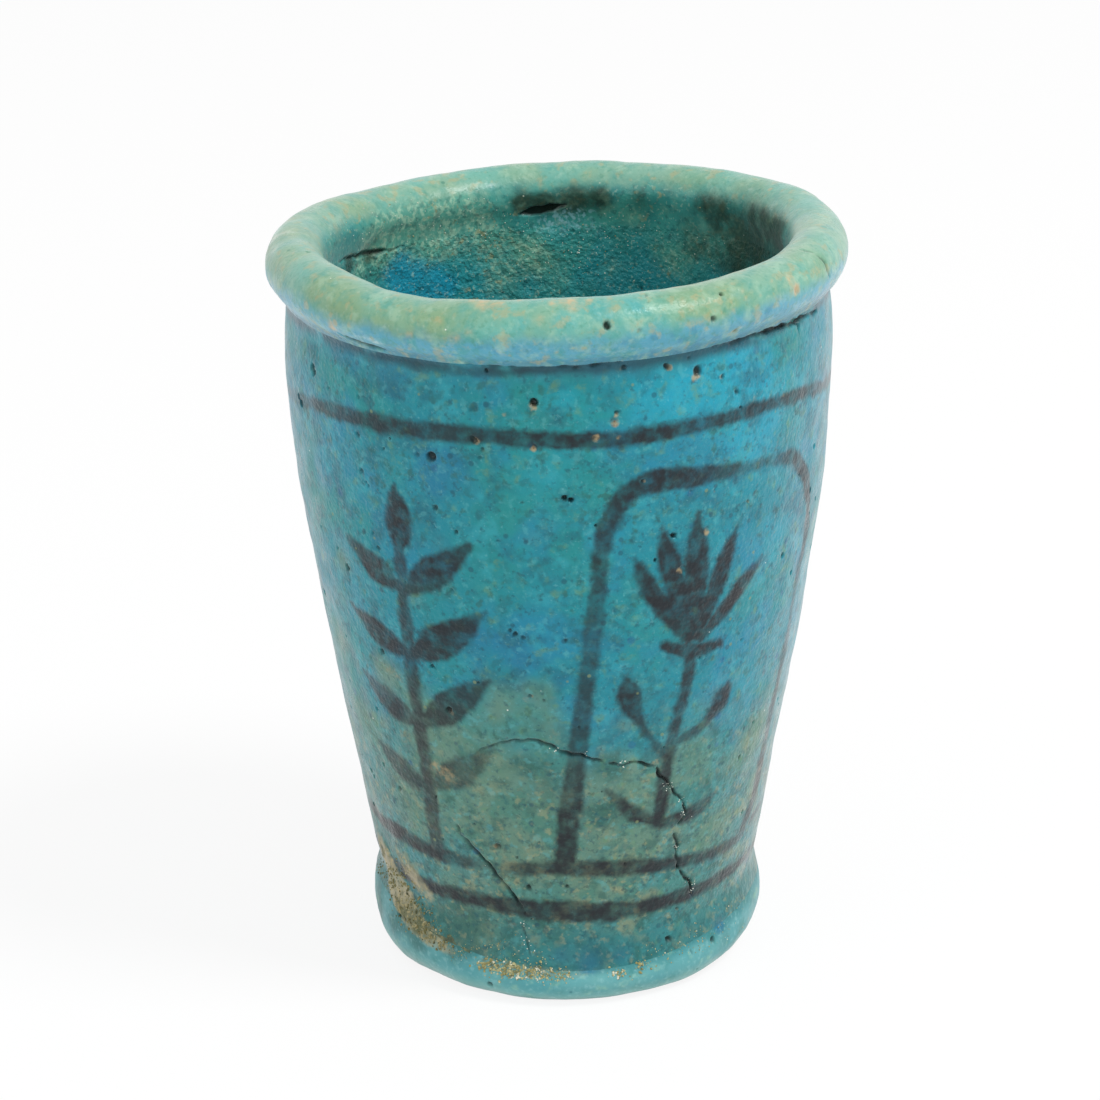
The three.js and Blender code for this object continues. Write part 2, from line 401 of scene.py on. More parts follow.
FOOT_BAND = [
    (379, 838, 0.56, 0.9), (390, 858, 0.73, 1), (410, 874, 0.67, 1), (440, 889, 0.67, 1),
    (480, 900, 0.73, 1), (520, 907, 0.84, 1), (560, 911, 0.95, 1), (600, 912, 0.9, 1),
    (640, 907, 0.73, 1), (680, 896, 0.62, 1), (715, 880, 0.56, 0.95), (740, 860, 0.5, 0.95),
    (754, 838, 0.45, 0.8),
]

# Heights of the bands round the back, where the photograph doesn't reach
BACK_ANGLES = (20, 50, 80, 110, 140, 165)
UPPER_BAND_BACK = (48.2, 47.7, 48.3, 48.0, 47.6, 47.5)
LOWER_BAND_BACK = (13.2, 12.9, 12.4, 12.6, 12.9, 13.0)
FOOT_BAND_BACK = (9.6, 9.4, 9.0, 9.2, 9.5, 9.7)

ARCH = [
    (566, 862, 0.84, 1), (568, 830, 0.95, 1), (572, 790, 0.84, 0.95), (577, 750, 0.73, 0.8),
    (584, 700, 0.78, 0.85), (590, 655, 0.67, 0.75), (596, 610, 0.67, 0.75), (600, 570, 0.67, 0.9),
    (604, 535, 0.73, 0.9), (615, 508, 0.78, 0.95), (635, 489, 0.84, 1), (665, 479, 0.9, 1),
    (700, 476, 0.84, 0.95), (735, 469, 0.56, 0.7), (770, 461, 0.45, 0.6), (790, 457, 0.67, 0.9),
    (801, 470, 0.67, 0.95), (804, 500, 0.62, 0.95), (801, 540, 0.5, 0.8), (793, 580, 0.39, 0.6),
    (785, 630, 0.45, 0.7), (773, 690, 0.56, 0.9), (764, 740, 0.62, 0.95), (754, 790, 0.62, 0.95),
    (740, 832, 0.56, 0.9),
]

# Painted shade: a soft dark line below the lip, laid in with the paint's colour
SHADE_BELOW_LIP = [
    (356, 346, 0.3, 0.35), (400, 360, 0.4, 0.4), (440, 368, 0.45, 0.45), (490, 371, 0.45, 0.5),
    (540, 368, 0.4, 0.45), (580, 366, 0.3, 0.3),
]

# A lotus in the arch: a fan of petals on a stem, with a bud on each side and leaves at its foot
LOTUS = [
    [(686, 640, 0.32, 0.9), (668, 615, 0.73, 1), (648, 585, 0.8, 1), (634, 560, 0.16, 0.9)],
    [(688, 638, 0.39, 1), (678, 600, 0.86, 1), (668, 560, 0.93, 1), (662, 528, 0.16, 0.9)],
    [(692, 636, 0.39, 1), (695, 595, 1.05, 1), (697, 550, 1.05, 1), (698, 512, 0.16, 0.9)],
    [(696, 636, 0.39, 1), (710, 598, 0.86, 1), (724, 560, 0.86, 1), (735, 527, 0.16, 0.9)],
    [(699, 638, 0.32, 0.9), (719, 612, 0.66, 1), (742, 582, 0.73, 1), (760, 555, 0.16, 0.8)],
    [(664, 645, 0.46, 1), (690, 652, 0.66, 1), (718, 643, 0.46, 1)],
    [(691, 650, 0.66, 1), (684, 690, 0.53, 0.95), (672, 735, 0.53, 0.9), (664, 780, 0.59, 1),
     (658, 820, 0.66, 1)],
    [(668, 760, 0.39, 0.9), (648, 735, 0.39, 0.85), (634, 712, 0.46, 0.9)],
    [(636, 716, 0.46, 0.95), (629, 697, 1, 1), (626, 676, 0.16, 0.9)],
    [(672, 742, 0.39, 0.9), (694, 730, 0.39, 0.85), (712, 712, 0.46, 0.9)],
    [(709, 716, 0.46, 0.95), (719, 699, 0.93, 1), (727, 680, 0.16, 0.9)],
    [(658, 822, 0.39, 1), (632, 812, 0.73, 1), (606, 790, 0.16, 0.8)],
    [(660, 822, 0.39, 1), (690, 812, 0.73, 1), (716, 790, 0.16, 0.8)],
]

# A leafy branch on the left: a curved stem with pairs of brushed leaves and a bud at its tip
BRANCH = [
    [(437, 848, 0.77, 0.8), (432, 800, 0.69, 0.85), (423, 740, 0.69, 0.9), (412, 670, 0.61, 0.9),
     (404, 600, 0.59, 0.85), (400, 545, 0.45, 0.9)],
    [(400, 548, 0.45, 1), (398, 518, 1.3, 1), (394, 488, 0.18, 0.9)],
    [(404, 590, 0.31, 0.8), (378, 568, 1.16, 1), (350, 536, 0.18, 0.8)],
    [(405, 592, 0.31, 0.8), (434, 572, 1.3, 1), (470, 545, 0.18, 0.9)],
    [(410, 655, 0.31, 0.9), (384, 636, 1.22, 1), (352, 602, 0.18, 0.8)],
    [(411, 658, 0.31, 0.9), (444, 640, 1.46, 1), (486, 612, 0.18, 0.9)],
    [(419, 722, 0.31, 0.9), (394, 704, 1.22, 0.95), (364, 670, 0.18, 0.8)],
    [(420, 724, 0.31, 0.9), (452, 706, 1.38, 0.9), (490, 680, 0.18, 0.8)],
    [(429, 786, 0.31, 0.8), (405, 770, 1.16, 0.8), (378, 738, 0.18, 0.7)],
    [(430, 788, 0.31, 0.8), (460, 772, 1.22, 0.75), (494, 748, 0.18, 0.6)],
]


def round_the_back(front, heights):
    """A band's photographed places, carried on round the back at chosen heights to where it began."""
    knots = [(*seen_at(x, y), width, strength) for x, y, width, strength in front]
    width, strength = front[0][2], 0.85
    knots += [(*round_at(a, z), width, strength) for a, z in zip(BACK_ANGLES, heights)]
    return smooth_line([*knots, knots[0]])


PAINT_AND_SHADE_LINES = [
    round_the_back(UPPER_BAND, UPPER_BAND_BACK),
    round_the_back(LOWER_BAND, LOWER_BAND_BACK),
    round_the_back(FOOT_BAND, FOOT_BAND_BACK),
    *(line_seen(stroke) for stroke in [ARCH, SHADE_BELOW_LIP, *LOTUS, *BRANCH]),
]

# Cracks: x pixel, y pixel, half width in mm, depth in mm

CRACKS = [
    [(470, 756, 0.03, 0.05), (478, 750, 0.06, 0.15), (502, 743, 0.08, 0.25), (528, 740, 0.08, 0.3),
     (546, 743, 0.09, 0.34), (563, 752, 0.08, 0.32), (590, 757, 0.08, 0.35), (612, 763, 0.09, 0.38),
     (622, 766, 0.05, 0.25), (631, 763, 0.08, 0.38), (642, 763, 0.12, 0.42), (656, 769, 0.1, 0.4),
     (665, 781, 0.1, 0.4), (679, 797, 0.08, 0.38), (684, 811, 0.07, 0.34), (678, 824, 0.06, 0.3)],
    [(674, 833, 0.07, 0.34), (676, 849, 0.08, 0.36), (676, 860, 0.05, 0.3), (677, 868, 0.07, 0.34),
     (688, 881, 0.1, 0.4), (692, 897, 0.05, 0.2)],
    [(458, 825, 0.06, 0.25), (470, 843, 0.09, 0.38), (487, 862, 0.09, 0.4), (500, 878, 0.08, 0.4),
     (513, 893, 0.08, 0.38), (525, 914, 0.05, 0.3)],
    [(524, 926, 0.04, 0.2), (526, 938, 0.04, 0.25), (530, 952, 0.04, 0.2)],
    [(641, 289, 0.07, 0.35), (645, 297, 0.06, 0.3), (648, 303, 0.03, 0.15)],
    [(790, 250, 0.03, 0.12), (806, 251, 0.04, 0.22), (818, 257, 0.045, 0.25), (826, 268, 0.06, 0.3),
     (828, 276, 0.06, 0.3)],
    [(690, 950, 0.04, 0.2), (694, 966, 0.04, 0.15)],
    [(399, 912, 0.09, 0.3), (408, 920, 0.07, 0.25)],
]

# Open folds where the lip was laid on the wall
FOLDS = [
    [(520, 214, 0.1, 0.2), (532, 212, 0.38, 0.42), (550, 209, 0.42, 0.42), (566, 205, 0.12, 0.2)],
    [(336, 262, 0.08, 0.12), (352, 257, 0.18, 0.25), (372, 254, 0.2, 0.3), (390, 250, 0.16, 0.25),
     (402, 247, 0.06, 0.1)],
    [(340, 333, 0.1, 0.15), (352, 339, 0.24, 0.35), (368, 344, 0.26, 0.4), (384, 348, 0.12, 0.2)],
    [(455, 359, 0.06, 0.1), (488, 363, 0.18, 0.25), (530, 364, 0.16, 0.2), (570, 364, 0.18, 0.3),
     (598, 363, 0.26, 0.42), (620, 360, 0.16, 0.25), (640, 357, 0.06, 0.1)],
    [(696, 348, 0.08, 0.1), (722, 342, 0.24, 0.35), (748, 335, 0.28, 0.42), (775, 327, 0.28, 0.42),
     (796, 319, 0.26, 0.42), (814, 310, 0.12, 0.25)],
    [(797, 322, 0.12, 0.3), (798, 332, 0.05, 0.1)],
]

# Pits: x pixel, y pixel, radius in mm, depth in mm, ochre round it from 0 to 1

PITS = [
    (313, 367, 0.34, 0.4, 0), (314, 372, 0.32, 0.4, 0), (301, 396, 0.3, 0.4, 0), (303, 403, 0.32, 0.4, 0),
    (359, 396, 0.2, 0.12, 0), (474, 407, 0.42, 0.16, 0), (534, 402, 0.36, 0.42, 1),
    (507, 414, 0.3, 0.06, 0.6), (431, 456, 0.46, 0.42, 0.2), (417, 455, 0.2, 0.15, 0),
    (383, 449, 0.14, 0.2, 0), (474, 439, 0.33, 0.25, 0.9), (483, 449, 0.18, 0.2, 0),
    (535, 446, 0.25, 0.1, 1), (379, 548, 0.2, 0.3, 0), (349, 567, 0.3, 0.35, 0.6),
    (435, 507, 0.26, 0.25, 0), (373, 532, 0.2, 0.12, 0.3), (498, 541, 0.18, 0.12, 0),
    (522, 502, 0.14, 0.15, 0), (565, 498, 0.27, 0.42, 0.1), (571, 499, 0.24, 0.42, 0.1),
    (673, 535, 0.32, 0.42, 0.2), (616, 412, 0.26, 0.2, 1), (613, 421, 0.34, 0.12, 1),
    (593, 438, 0.3, 0.12, 1), (707, 528, 0.28, 0.06, 1), (682, 568, 0.35, 0.08, 0.8),
    (654, 560, 0.14, 0.25, 0), (780, 555, 0.25, 0.3, 0), (788, 572, 0.22, 0.25, 0),
    (811, 445, 0.25, 0.3, 0), (806, 489, 0.22, 0.25, 0), (607, 326, 0.36, 0.42, 0.3),
    (720, 294, 0.2, 0.3, 0.1), (713, 319, 0.3, 0.25, 0.3), (308, 252, 0.24, 0.15, 0.2),
    (666, 366, 0.3, 0.3, 0.9), (697, 371, 0.42, 0.35, 1), (722, 376, 0.22, 0.2, 1),
    (623, 367, 0.28, 0.25, 0.6), (687, 357, 0.24, 0.25, 0.3), (557, 364, 0.22, 0.2, 0.3),
    (487, 370, 0.22, 0.22, 0.3), (510, 629, 0.2, 0.2, 0), (516, 633, 0.25, 0.25, 0.1),
    (523, 637, 0.22, 0.2, 0.1), (432, 666, 0.24, 0.25, 0), (383, 651, 0.28, 0.3, 0.2),
    (377, 708, 0.18, 0.2, 0), (372, 770, 0.22, 0.3, 0), (375, 776, 0.18, 0.25, 0),
    (492, 981, 0.26, 0.25, 0.2), (668, 939, 0.3, 0.3, 0.3), (712, 939, 0.26, 0.3, 0.2),
    (544, 700, 0.15, 0.15, 0), (590, 538, 0.14, 0.12, 0), (740, 640, 0.16, 0.12, 0.3),
    (500, 600, 0.15, 0.12, 0), (452, 590, 0.16, 0.15, 0.3), (565, 640, 0.16, 0.15, 0.1),
    (735, 330, 0.2, 0.15, 0.4), (640, 330, 0.2, 0.1, 0.5), (797, 289, 0.35, 0.08, 0.9),
]

# Soft coloured patches: x pixel, y pixel, radius in mm, strength

OLIVE_PATCHES = [
    (500, 800, 6.5, 0.9), (430, 740, 5.0, 0.75), (520, 850, 4.5, 0.8), (410, 800, 4.6, 0.75),
    (620, 800, 5.0, 0.8), (600, 880, 5.5, 0.7), (470, 920, 4.5, 0.75), (390, 675, 2.8, 0.8),
    (500, 700, 3.2, 0.5), (700, 850, 2.2, 0.4), (470, 760, 3.0, 0.6), (345, 560, 2.0, 0.45),
    (342, 640, 3.0, 0.5), (365, 720, 3.0, 0.6), (345, 600, 2.0, 0.4), (415, 590, 2.0, 0.4),
    (540, 690, 1.6, 0.5), (690, 580, 2.4, 0.3), (640, 700, 2.0, 0.25), (690, 760, 3.5, 0.6),
    (720, 820, 3.0, 0.6), (735, 760, 2.5, 0.6), (680, 830, 2.5, 0.5), (640, 850, 2.5, 0.5),
    (700, 700, 2.0, 0.3), (752, 785, 2.2, 0.8), (748, 745, 2.2, 0.7), (760, 715, 2.0, 0.7),
    (545, 722, 2.5, 0.5), (530, 540, 1.4, 0.3), (440, 540, 1.6, 0.3), (550, 900, 3.0, 0.3),
    (450, 880, 2.5, 0.4),
]
OCHRE_PATCHES = [
    (400, 676, 1.2, 0.5), (388, 668, 0.9, 0.5), (450, 775, 1.5, 0.6), (526, 699, 0.7, 0.5),
    (497, 694, 0.6, 0.4), (590, 826, 1.2, 0.5), (612, 836, 0.9, 0.5), (646, 780, 0.8, 0.6),
    (515, 830, 2.2, 0.35), (350, 600, 1.2, 0.4), (333, 326, 0.7, 0.8), (484, 303, 0.7, 0.7),
    (539, 320, 0.7, 0.5), (569, 302, 0.9, 0.7), (683, 302, 0.8, 0.4), (535, 935, 1.4, 0.4),
    (500, 944, 1.0, 0.4), (618, 437, 0.5, 0.5), (752, 398, 0.7, 0.6), (783, 393, 0.9, 0.5),
    (500, 304, 0.5, 0.7), (660, 318, 0.35, 0.5), (716, 306, 0.35, 0.5), (760, 296, 0.3, 0.5),
    (455, 338, 0.8, 0.5), (440, 322, 0.6, 0.4), (797, 289, 0.6, 0.9), (640, 300, 0.4, 0.5),
    (405, 735, 1.6, 0.5), (436, 764, 1.2, 0.5), (470, 786, 1.0, 0.35), (655, 722, 0.8, 0.4),
    (430, 645, 0.8, 0.4), (560, 585, 0.5, 0.4), (512, 925, 0.8, 0.5), (760, 765, 1.6, 0.5),
    (766, 735, 1.2, 0.4), (754, 800, 1.4, 0.45), (655, 762, 0.7, 0.6), (745, 900, 0.9, 0.5),
    (472, 303, 0.4, 0.7), (520, 302, 0.4, 0.7), (536, 300, 0.45, 0.8), (553, 304, 0.5, 0.8),
    (590, 301, 0.4, 0.6), (606, 302, 0.35, 0.6), (702, 298, 0.4, 0.6), (742, 290, 0.35, 0.6),
    (772, 281, 0.35, 0.5), (484, 308, 0.9, 0.6), (574, 308, 0.9, 0.5), (410, 334, 0.6, 0.5),
    (470, 331, 0.5, 0.5), (500, 342, 0.4, 0.4), (640, 322, 0.5, 0.4), (790, 280, 0.8, 0.6),
    (300, 246, 0.5, 0.5), (330, 300, 0.4, 0.4),
]
BLUE_PATCHES = [
    (440, 470, 3.6, 0.8), (370, 480, 2.2, 0.6), (480, 640, 3.2, 0.6), (520, 655, 2.2, 0.5),
    (560, 680, 2.0, 0.6), (560, 360, 2.6, 0.5), (400, 520, 2.0, 0.5), (700, 420, 2.8, 0.4),
    (560, 600, 3.0, 0.35), (620, 740, 2.2, 0.5), (735, 735, 1.8, 0.5), (650, 840, 1.4, 0.5),
    (690, 700, 2.4, 0.4), (340, 350, 2.0, 0.5), (600, 620, 1.6, 0.3), (405, 276, 3.2, 1.0),
    (440, 285, 2.2, 0.8), (590, 962, 1.3, 1.0), (560, 955, 1.0, 0.7), (718, 926, 0.9, 0.9),
    (620, 955, 1.0, 0.7), (430, 796, 1.4, 0.5), (590, 930, 2.6, 0.3), (355, 352, 2.6, 0.7),
    (390, 372, 3.0, 0.7), (600, 312, 1.6, 0.8), (634, 306, 1.4, 0.7), (566, 322, 1.5, 0.6),
    (520, 326, 1.3, 0.5), (745, 306, 1.3, 0.5), (662, 322, 1.2, 0.6), (690, 318, 1.0, 0.4),
]

# Mossy dark green of the lower wall. The patches at the left and right ends of the foot are painted shade on
# its sides
MOSSY_PATCHES = [
    (470, 925, 3.0, 0.9), (440, 912, 2.2, 0.7), (605, 815, 1.8, 0.8), (610, 765, 2.0, 0.8),
    (560, 930, 2.0, 0.6), (600, 952, 2.0, 0.7), (650, 905, 1.6, 0.5), (392, 782, 1.6, 0.5),
    (545, 772, 2.2, 0.6), (520, 905, 1.6, 0.4), (405, 916, 1.8, 1), (418, 934, 2.0, 0.9),
    (380, 899, 2.0, 1), (394, 922, 1.6, 0.7), (752, 900, 1.6, 0.5), (722, 938, 1.6, 0.5),
    (640, 940, 2.0, 0.4), (500, 885, 1.4, 0.5), (690, 745, 1.4, 0.5), (455, 950, 1.6, 0.6),
    (590, 700, 1.6, 0.3), (372, 730, 1.4, 0.4), (380, 372, 2.4, 0.5), (545, 800, 1.6, 0.5),
    (520, 765, 1.6, 0.6), (600, 812, 1.4, 0.6), (660, 800, 1.6, 0.5), (690, 860, 1.6, 0.5),
    (420, 915, 1.6, 0.6), (730, 880, 1.6, 0.4), (440, 590, 1.2, 0.4), (505, 610, 1.4, 0.4),
    (612, 400, 1.4, 0.4), (545, 420, 1.6, 0.5), (590, 380, 1.4, 0.4), (470, 400, 1.6, 0.3),
]

# Films of sand: x pixel, y pixel, half width in mm, strength
SAND_FILMS = [
    [(382, 840, 0.4, 0.7), (388, 856, 1.0, 1), (394, 872, 1.2, 1), (402, 890, 1.1, 1), (412, 914, 0.7, 0.8),
     (428, 934, 0.4, 0.7), (452, 952, 0.1, 0.4)],
    [(398, 850, 0.2, 0.4), (412, 872, 0.5, 0.6), (428, 894, 0.4, 0.5)],
    [(474, 961, 0.06, 0.2), (495, 966, 0.1, 0.35), (530, 971, 0.12, 0.4), (566, 973, 0.08, 0.3),
     (600, 972, 0.05, 0.15)],
]

# Where the cavity is stained brown, and painted shade where it lies in the lee of the lip, at the back and on
# the left
STAIN_AND_SHADE_PATCHES = [
    (765, 225, 3.5, 0.9), (786, 218, 1.6, 0.8), (778, 238, 1.8, 0.9), (788, 204, 1.4, 0.6),
    (750, 245, 3.5, 0.85), (735, 258, 3.0, 0.6), (780, 210, 2.5, 0.7), (705, 205, 1.6, 0.7),
    (720, 215, 2.2, 0.6), (350, 264, 1.2, 0.8), (372, 256, 1.2, 0.7), (545, 203, 1.3, 0.9),
    (570, 196, 1.5, 0.8), (600, 199, 1.6, 0.8), (640, 200, 1.6, 0.5), (574, 200, 1.6, 0.9),
    (520, 201, 1.5, 0.8), (700, 250, 2.6, 0.45), (690, 225, 2.0, 0.3), (480, 196, 1.2, 0.4),
]

# Where sand grains lie thick on the glaze of the cavity
GRAINY_PATCHES = [
    (375, 236, 3.0, 0.9), (405, 218, 3.4, 0.9), (440, 212, 3.4, 0.85), (430, 235, 3.0, 0.8),
    (470, 225, 2.6, 0.6), (490, 245, 2.4, 0.6), (470, 205, 2.0, 0.6), (528, 250, 1.8, 0.8),
    (545, 262, 1.8, 0.6), (505, 268, 2.0, 0.5), (500, 288, 2.0, 0.4), (560, 285, 2.0, 0.3),
    (610, 272, 2.2, 0.35), (632, 215, 1.5, 0.5), (700, 240, 3.4, 0.45), (670, 262, 2.6, 0.4),
    (735, 240, 3.0, 0.4), (358, 272, 1.4, 0.7), (420, 195, 2.0, 0.5), (385, 252, 1.4, 0.8),
]

# Yellow-green blushes of the lip
BLUSH_PATCHES = [
    (290, 232, 3.2, 0.7), (282, 262, 2.4, 0.7), (318, 288, 2.6, 0.6), (345, 316, 3.0, 0.9),
    (385, 330, 2.6, 0.9), (425, 332, 2.4, 0.8), (455, 322, 2.4, 0.5), (350, 212, 3.0, 0.4),
    (660, 308, 2.2, 0.6), (700, 304, 2.6, 1), (738, 298, 2.2, 0.9), (770, 284, 2.2, 0.4),
    (820, 262, 2.4, 0.4), (800, 225, 2.4, 0.3), (700, 178, 3.0, 0.5), (760, 186, 3.0, 0.5),
]

# Paler, brighter blue of the wall, and on its right side painted light, where the lamp falls
PALE_AND_LIT_PATCHES = [
    (735, 375, 4.4, 0.9), (690, 392, 3.4, 0.8), (650, 404, 3.0, 0.6), (770, 395, 3.4, 0.6),
    (750, 440, 4.4, 0.7), (560, 400, 3.0, 0.4), (540, 470, 4.4, 0.4), (620, 520, 3.4, 0.3),
    (770, 540, 4.0, 0.5), (530, 560, 3.4, 0.3), (745, 690, 3.4, 0.5), (730, 790, 2.6, 0.6),
    (360, 460, 2.6, 0.3), (620, 668, 2.4, 0.3),
]

# Painted glints: white highlights on the glaze, laid in as colour: x pixel, y pixel, half width in mm,
# strength
GLINT_STREAKS = [
    [(540, 226, 0.2, 0.5), (556, 220, 0.4, 0.8), (574, 215, 0.45, 0.8), (590, 212, 0.2, 0.5)],
    [(562, 232, 0.1, 0.4), (580, 228, 0.2, 0.6), (600, 226, 0.1, 0.4)],
    [(352, 334, 0.03, 0.3), (372, 340, 0.06, 0.6), (392, 345, 0.03, 0.3)],
    [(480, 185, 0.04, 0.3), (492, 186, 0.08, 0.5), (503, 184, 0.04, 0.3)],
    [(745, 187, 0.04, 0.4), (752, 189, 0.06, 0.5)],
    [(303, 362, 0.04, 0.3), (300, 388, 0.08, 0.5), (302, 410, 0.04, 0.3)],
]

# Dents: x pixel, y pixel, radius in mm, depth in mm. The largest is the shaded hollow at the right.
DENTS = [
    (545, 218, 1.6, 0.25), (600, 215, 1.5, 0.2), (367, 258, 1.4, 0.25), (738, 220, 3.0, 0.3),
    (660, 212, 1.6, 0.2),
]

# Where the wall stands fuller: angle round from the right, height, radius and rise in mm
SWELLS = [(0, 40, 7, 0.44), (0, 30, 16, 0.3), (0, 47, 4, 0.12), (180, 42, 10, 0.2)]

# Where the glaze hangs fuller on the lower edge of the foot: angle round from the right, spread, rise in mm
FOOT_DRIPS = [(274, 65, 0.47), (206, 22, 0.26), (316, 24, 0.16)]
DRIPS_BELOW = 3.6

# Patches strewn round the back: how many, lowest and highest place, smallest and largest radius in mm
BACK_PATCHES = {
    "olive": (9, 8, 24, 2.5, 5), "ochre": (26, 6, 58, 0.4, 1.1), "blue": (8, 20, 52, 1.8, 3.4),
    "pale": (7, 20, 50, 2.5, 4.5), "mossy": (10, 5, 40, 1.4, 2.4), "blush": (6, 56, 59, 2, 3),
}

# The angles that they lie between, round from the right, and their least and greatest strength
BACK_ARC = (12, 168)
BACK_STRENGTHS = (0.4, 0.8)


def patches(spots):
    return [(seen_at(x, y), radius, strength) for x, y, radius, strength in spots]


PATCHED = {
    "olive": patches(OLIVE_PATCHES),
    "ochre": patches(OCHRE_PATCHES),
    "blue": patches(BLUE_PATCHES),
    "pale": patches(PALE_AND_LIT_PATCHES),
    "stain_and_shade": patches(STAIN_AND_SHADE_PATCHES),
    "grainy": patches(GRAINY_PATCHES),
    "blush": patches(BLUSH_PATCHES),
    "mossy": patches(MOSSY_PATCHES),
}


def strewn(count, low, high, small, large, draw):
    """Patches at random places round the back."""
    found = []
    for _ in range(count):
        place = round_at(draw.uniform(*BACK_ARC), draw.uniform(low, high))
        found.append((place, draw.uniform(small, large), draw.uniform(*BACK_STRENGTHS)))
    return found


draw_back = random.Random(31)
for mark, reach in BACK_PATCHES.items():
    PATCHED[mark] += strewn(*reach, draw_back)
DENTED = patches(DENTS)
SWOLLEN = [(round_at(angle, height), radius, rise) for angle, height, radius, rise in SWELLS]
CRACKED = [line_seen(crack) for crack in CRACKS + FOLDS]
GLINTING = [line_seen(streak) for streak in GLINT_STREAKS]
SANDED = [line_seen(film) for film in SAND_FILMS]


# Pinholes that the photograph doesn't show: how many, their heights, their radii,
# their depths in radii, and the ochre round them
PINHOLES = 170
PINHOLE_HEIGHTS = (6, 58)
PINHOLE_RADII = (0.1, 0.12, 0.15, 0.2, 0.28)
PINHOLE_DEPTHS = (0.6, 1.2)
PINHOLE_OCHRE = (0, 0, 0, 0, 0.7)


def scattered_pits(count, seed):
    """Pinholes of the glaze all round the outside, apart from the pits that the photograph shows."""
    draw = random.Random(seed)
    found = []
    for _ in range(count):
        place = round_at(draw.uniform(0, 360), draw.uniform(*PINHOLE_HEIGHTS))
        radius = draw.choice(PINHOLE_RADII)
        depth = radius * draw.uniform(*PINHOLE_DEPTHS)
        found.append((place, radius, depth, draw.choice(PINHOLE_OCHRE)))
    return found


PITTED = [(seen_at(x, y), r, depth, rim) for x, y, r, depth, rim in PITS] + scattered_pits(PINHOLES, 5)


# Each rim's lean to the lower side of its pit paints a highlight over the ochre
# The ochre rim of a pit: directions that it leans in, how far off in radii, and how wide in radii
RIM_LEAN = (-190, 10)
RIM_OFFSET = (0.5, 1.1)
RIM_WIDTH = 1.15


def rim_middles(pits, seed):
    """Middles of the ochre rims. Each leans off its pit, mostly downwards, so it is thick on one side, a
    painted highlight over the ochre.
    """
    draw = random.Random(seed)
    found = []
    for place, radius, *_ in pits:
        lean = math.radians(draw.uniform(*RIM_LEAN))
        aside = Vector((-place.y, place.x, 0)).normalized()
        way = aside * math.cos(lean) + Vector((0, 0, math.sin(lean)))
        found.append(place + radius * draw.uniform(*RIM_OFFSET) * way)
    return found


RIMS = rim_middles(PITTED, 7)


# How torn the edges of the pits, the cracks and the painted glints are: size and reach in mm
PIT_TEAR = (0.6, 0.12)
CRACK_TEAR = (0.8, 0.2)
GLINT_TEAR = (0.5, 0.15)

# How far out from its line a crack, a film of sand or a streak of painted glint fades, in mm
CRACK_EDGE = 0.1
SAND_FADE = 0.7
GLINT_FADE = 0.5


def torn(points, size, reach):
    """The points shifted at random by up to about a reach, so that distances from them have a ragged edge."""
    return points + reach * np.column_stack([unevenness(points, size, seed) for seed in (21, 22, 23)])


def pit_fields(points):
    """For each point: how deep a pit is there, how far off the nearest pit is, and the ochre round it."""
    depth = np.zeros(len(points))
    near = np.full(len(points), FAR)
    rim = np.zeros(len(points))
    for (place, radius, deep, ochre), middle in zip(PITTED, RIMS):
        away = np.linalg.norm(points - np.array(place), axis=1) / radius
        depth = np.maximum(depth, deep * np.clip(1 - away**3, 0, 1))
        near = np.minimum(near, (away - 1) * radius)
        aside = np.linalg.norm(points - np.array(middle), axis=1) / radius
        rim = np.maximum(rim, ochre * np.exp(-((aside / RIM_WIDTH) ** 2)))
    return depth, near, rim


def crack_depth(points):
    """How deep a crack is at each point. Its sides are torn, so it wanders and its width changes."""
    gap, deep = lines_distance(torn(points, *CRACK_TEAR), CRACKED)
    return deep * np.clip((CRACK_EDGE - gap) / (2 * CRACK_EDGE), 0, 1)


def sand_cover(points):
    gap, strength = lines_distance(points, SANDED)
    return strength * np.clip(1 - gap / SAND_FADE, 0, 1)


# The paste stays covered everywhere, also where the glaze is thinnest
DEEPEST_OUTSIDE = -0.41
DEEPEST_INSIDE = -0.3

# Lumps that the hand left, each (size in mm, height in mm, seed)
LUMPS = [(13, 0.1, 1), (5.5, 0.07, 2), (2.2, 0.03, 3)]
LIP_LUMPS = [(7.5, 0.12, 4), (3.2, 0.06, 5)]
SAND_LUMPS = [(0.9, 0.16, 6)]
SKIN_LUMPS = [(2.4, 0.07, 26), (1.1, 0.05, 27)]
SKIN_SHARE_OUTSIDE = 0.6
SAND_RISE = 0.12
GLAZE_RISE = 0.06


def lumpy(points, lumps):
    return sum(height * unevenness(points, size, seed) for size, height, seed in lumps)


def relief(points):
    """How far the surface stands out of its true place: lumps of the hand, less dents, pits and cracks."""
    lip = np.clip((points[:, 2] - SEAT_Z) / 2, 0, 1)
    inside = inside_share(points)
    lumps = lumpy(points, LUMPS) + lip * lumpy(points, LIP_LUMPS)
    lumps += sand_cover(points) * (SAND_RISE + lumpy(points, SAND_LUMPS))
    lumps += lerp(SKIN_SHARE_OUTSIDE, 1, inside) * lumpy(points, SKIN_LUMPS)
    dents = sum(spots_cover(points, [(place, radius, 1)]) * deep for place, radius, deep in DENTED)
    swells = sum(spots_cover(points, [(place, radius, 1)]) * rise for place, radius, rise in SWOLLEN)
    drips = towards(points[:, 0], points[:, 1], FOOT_DRIPS) * eased((DRIPS_BELOW - points[:, 2]) / 2)
    holes = np.maximum(pit_fields(torn(points, *PIT_TEAR))[0], crack_depth(points))
    lowest = lerp(DEEPEST_OUTSIDE, DEEPEST_INSIDE, inside)
    return np.maximum(GLAZE_RISE + lumps + (1 - inside) * (swells + drips) - dents - holes, lowest)


# Meshes

def places(mesh):
    return np.array([v.co for v in mesh.verts])


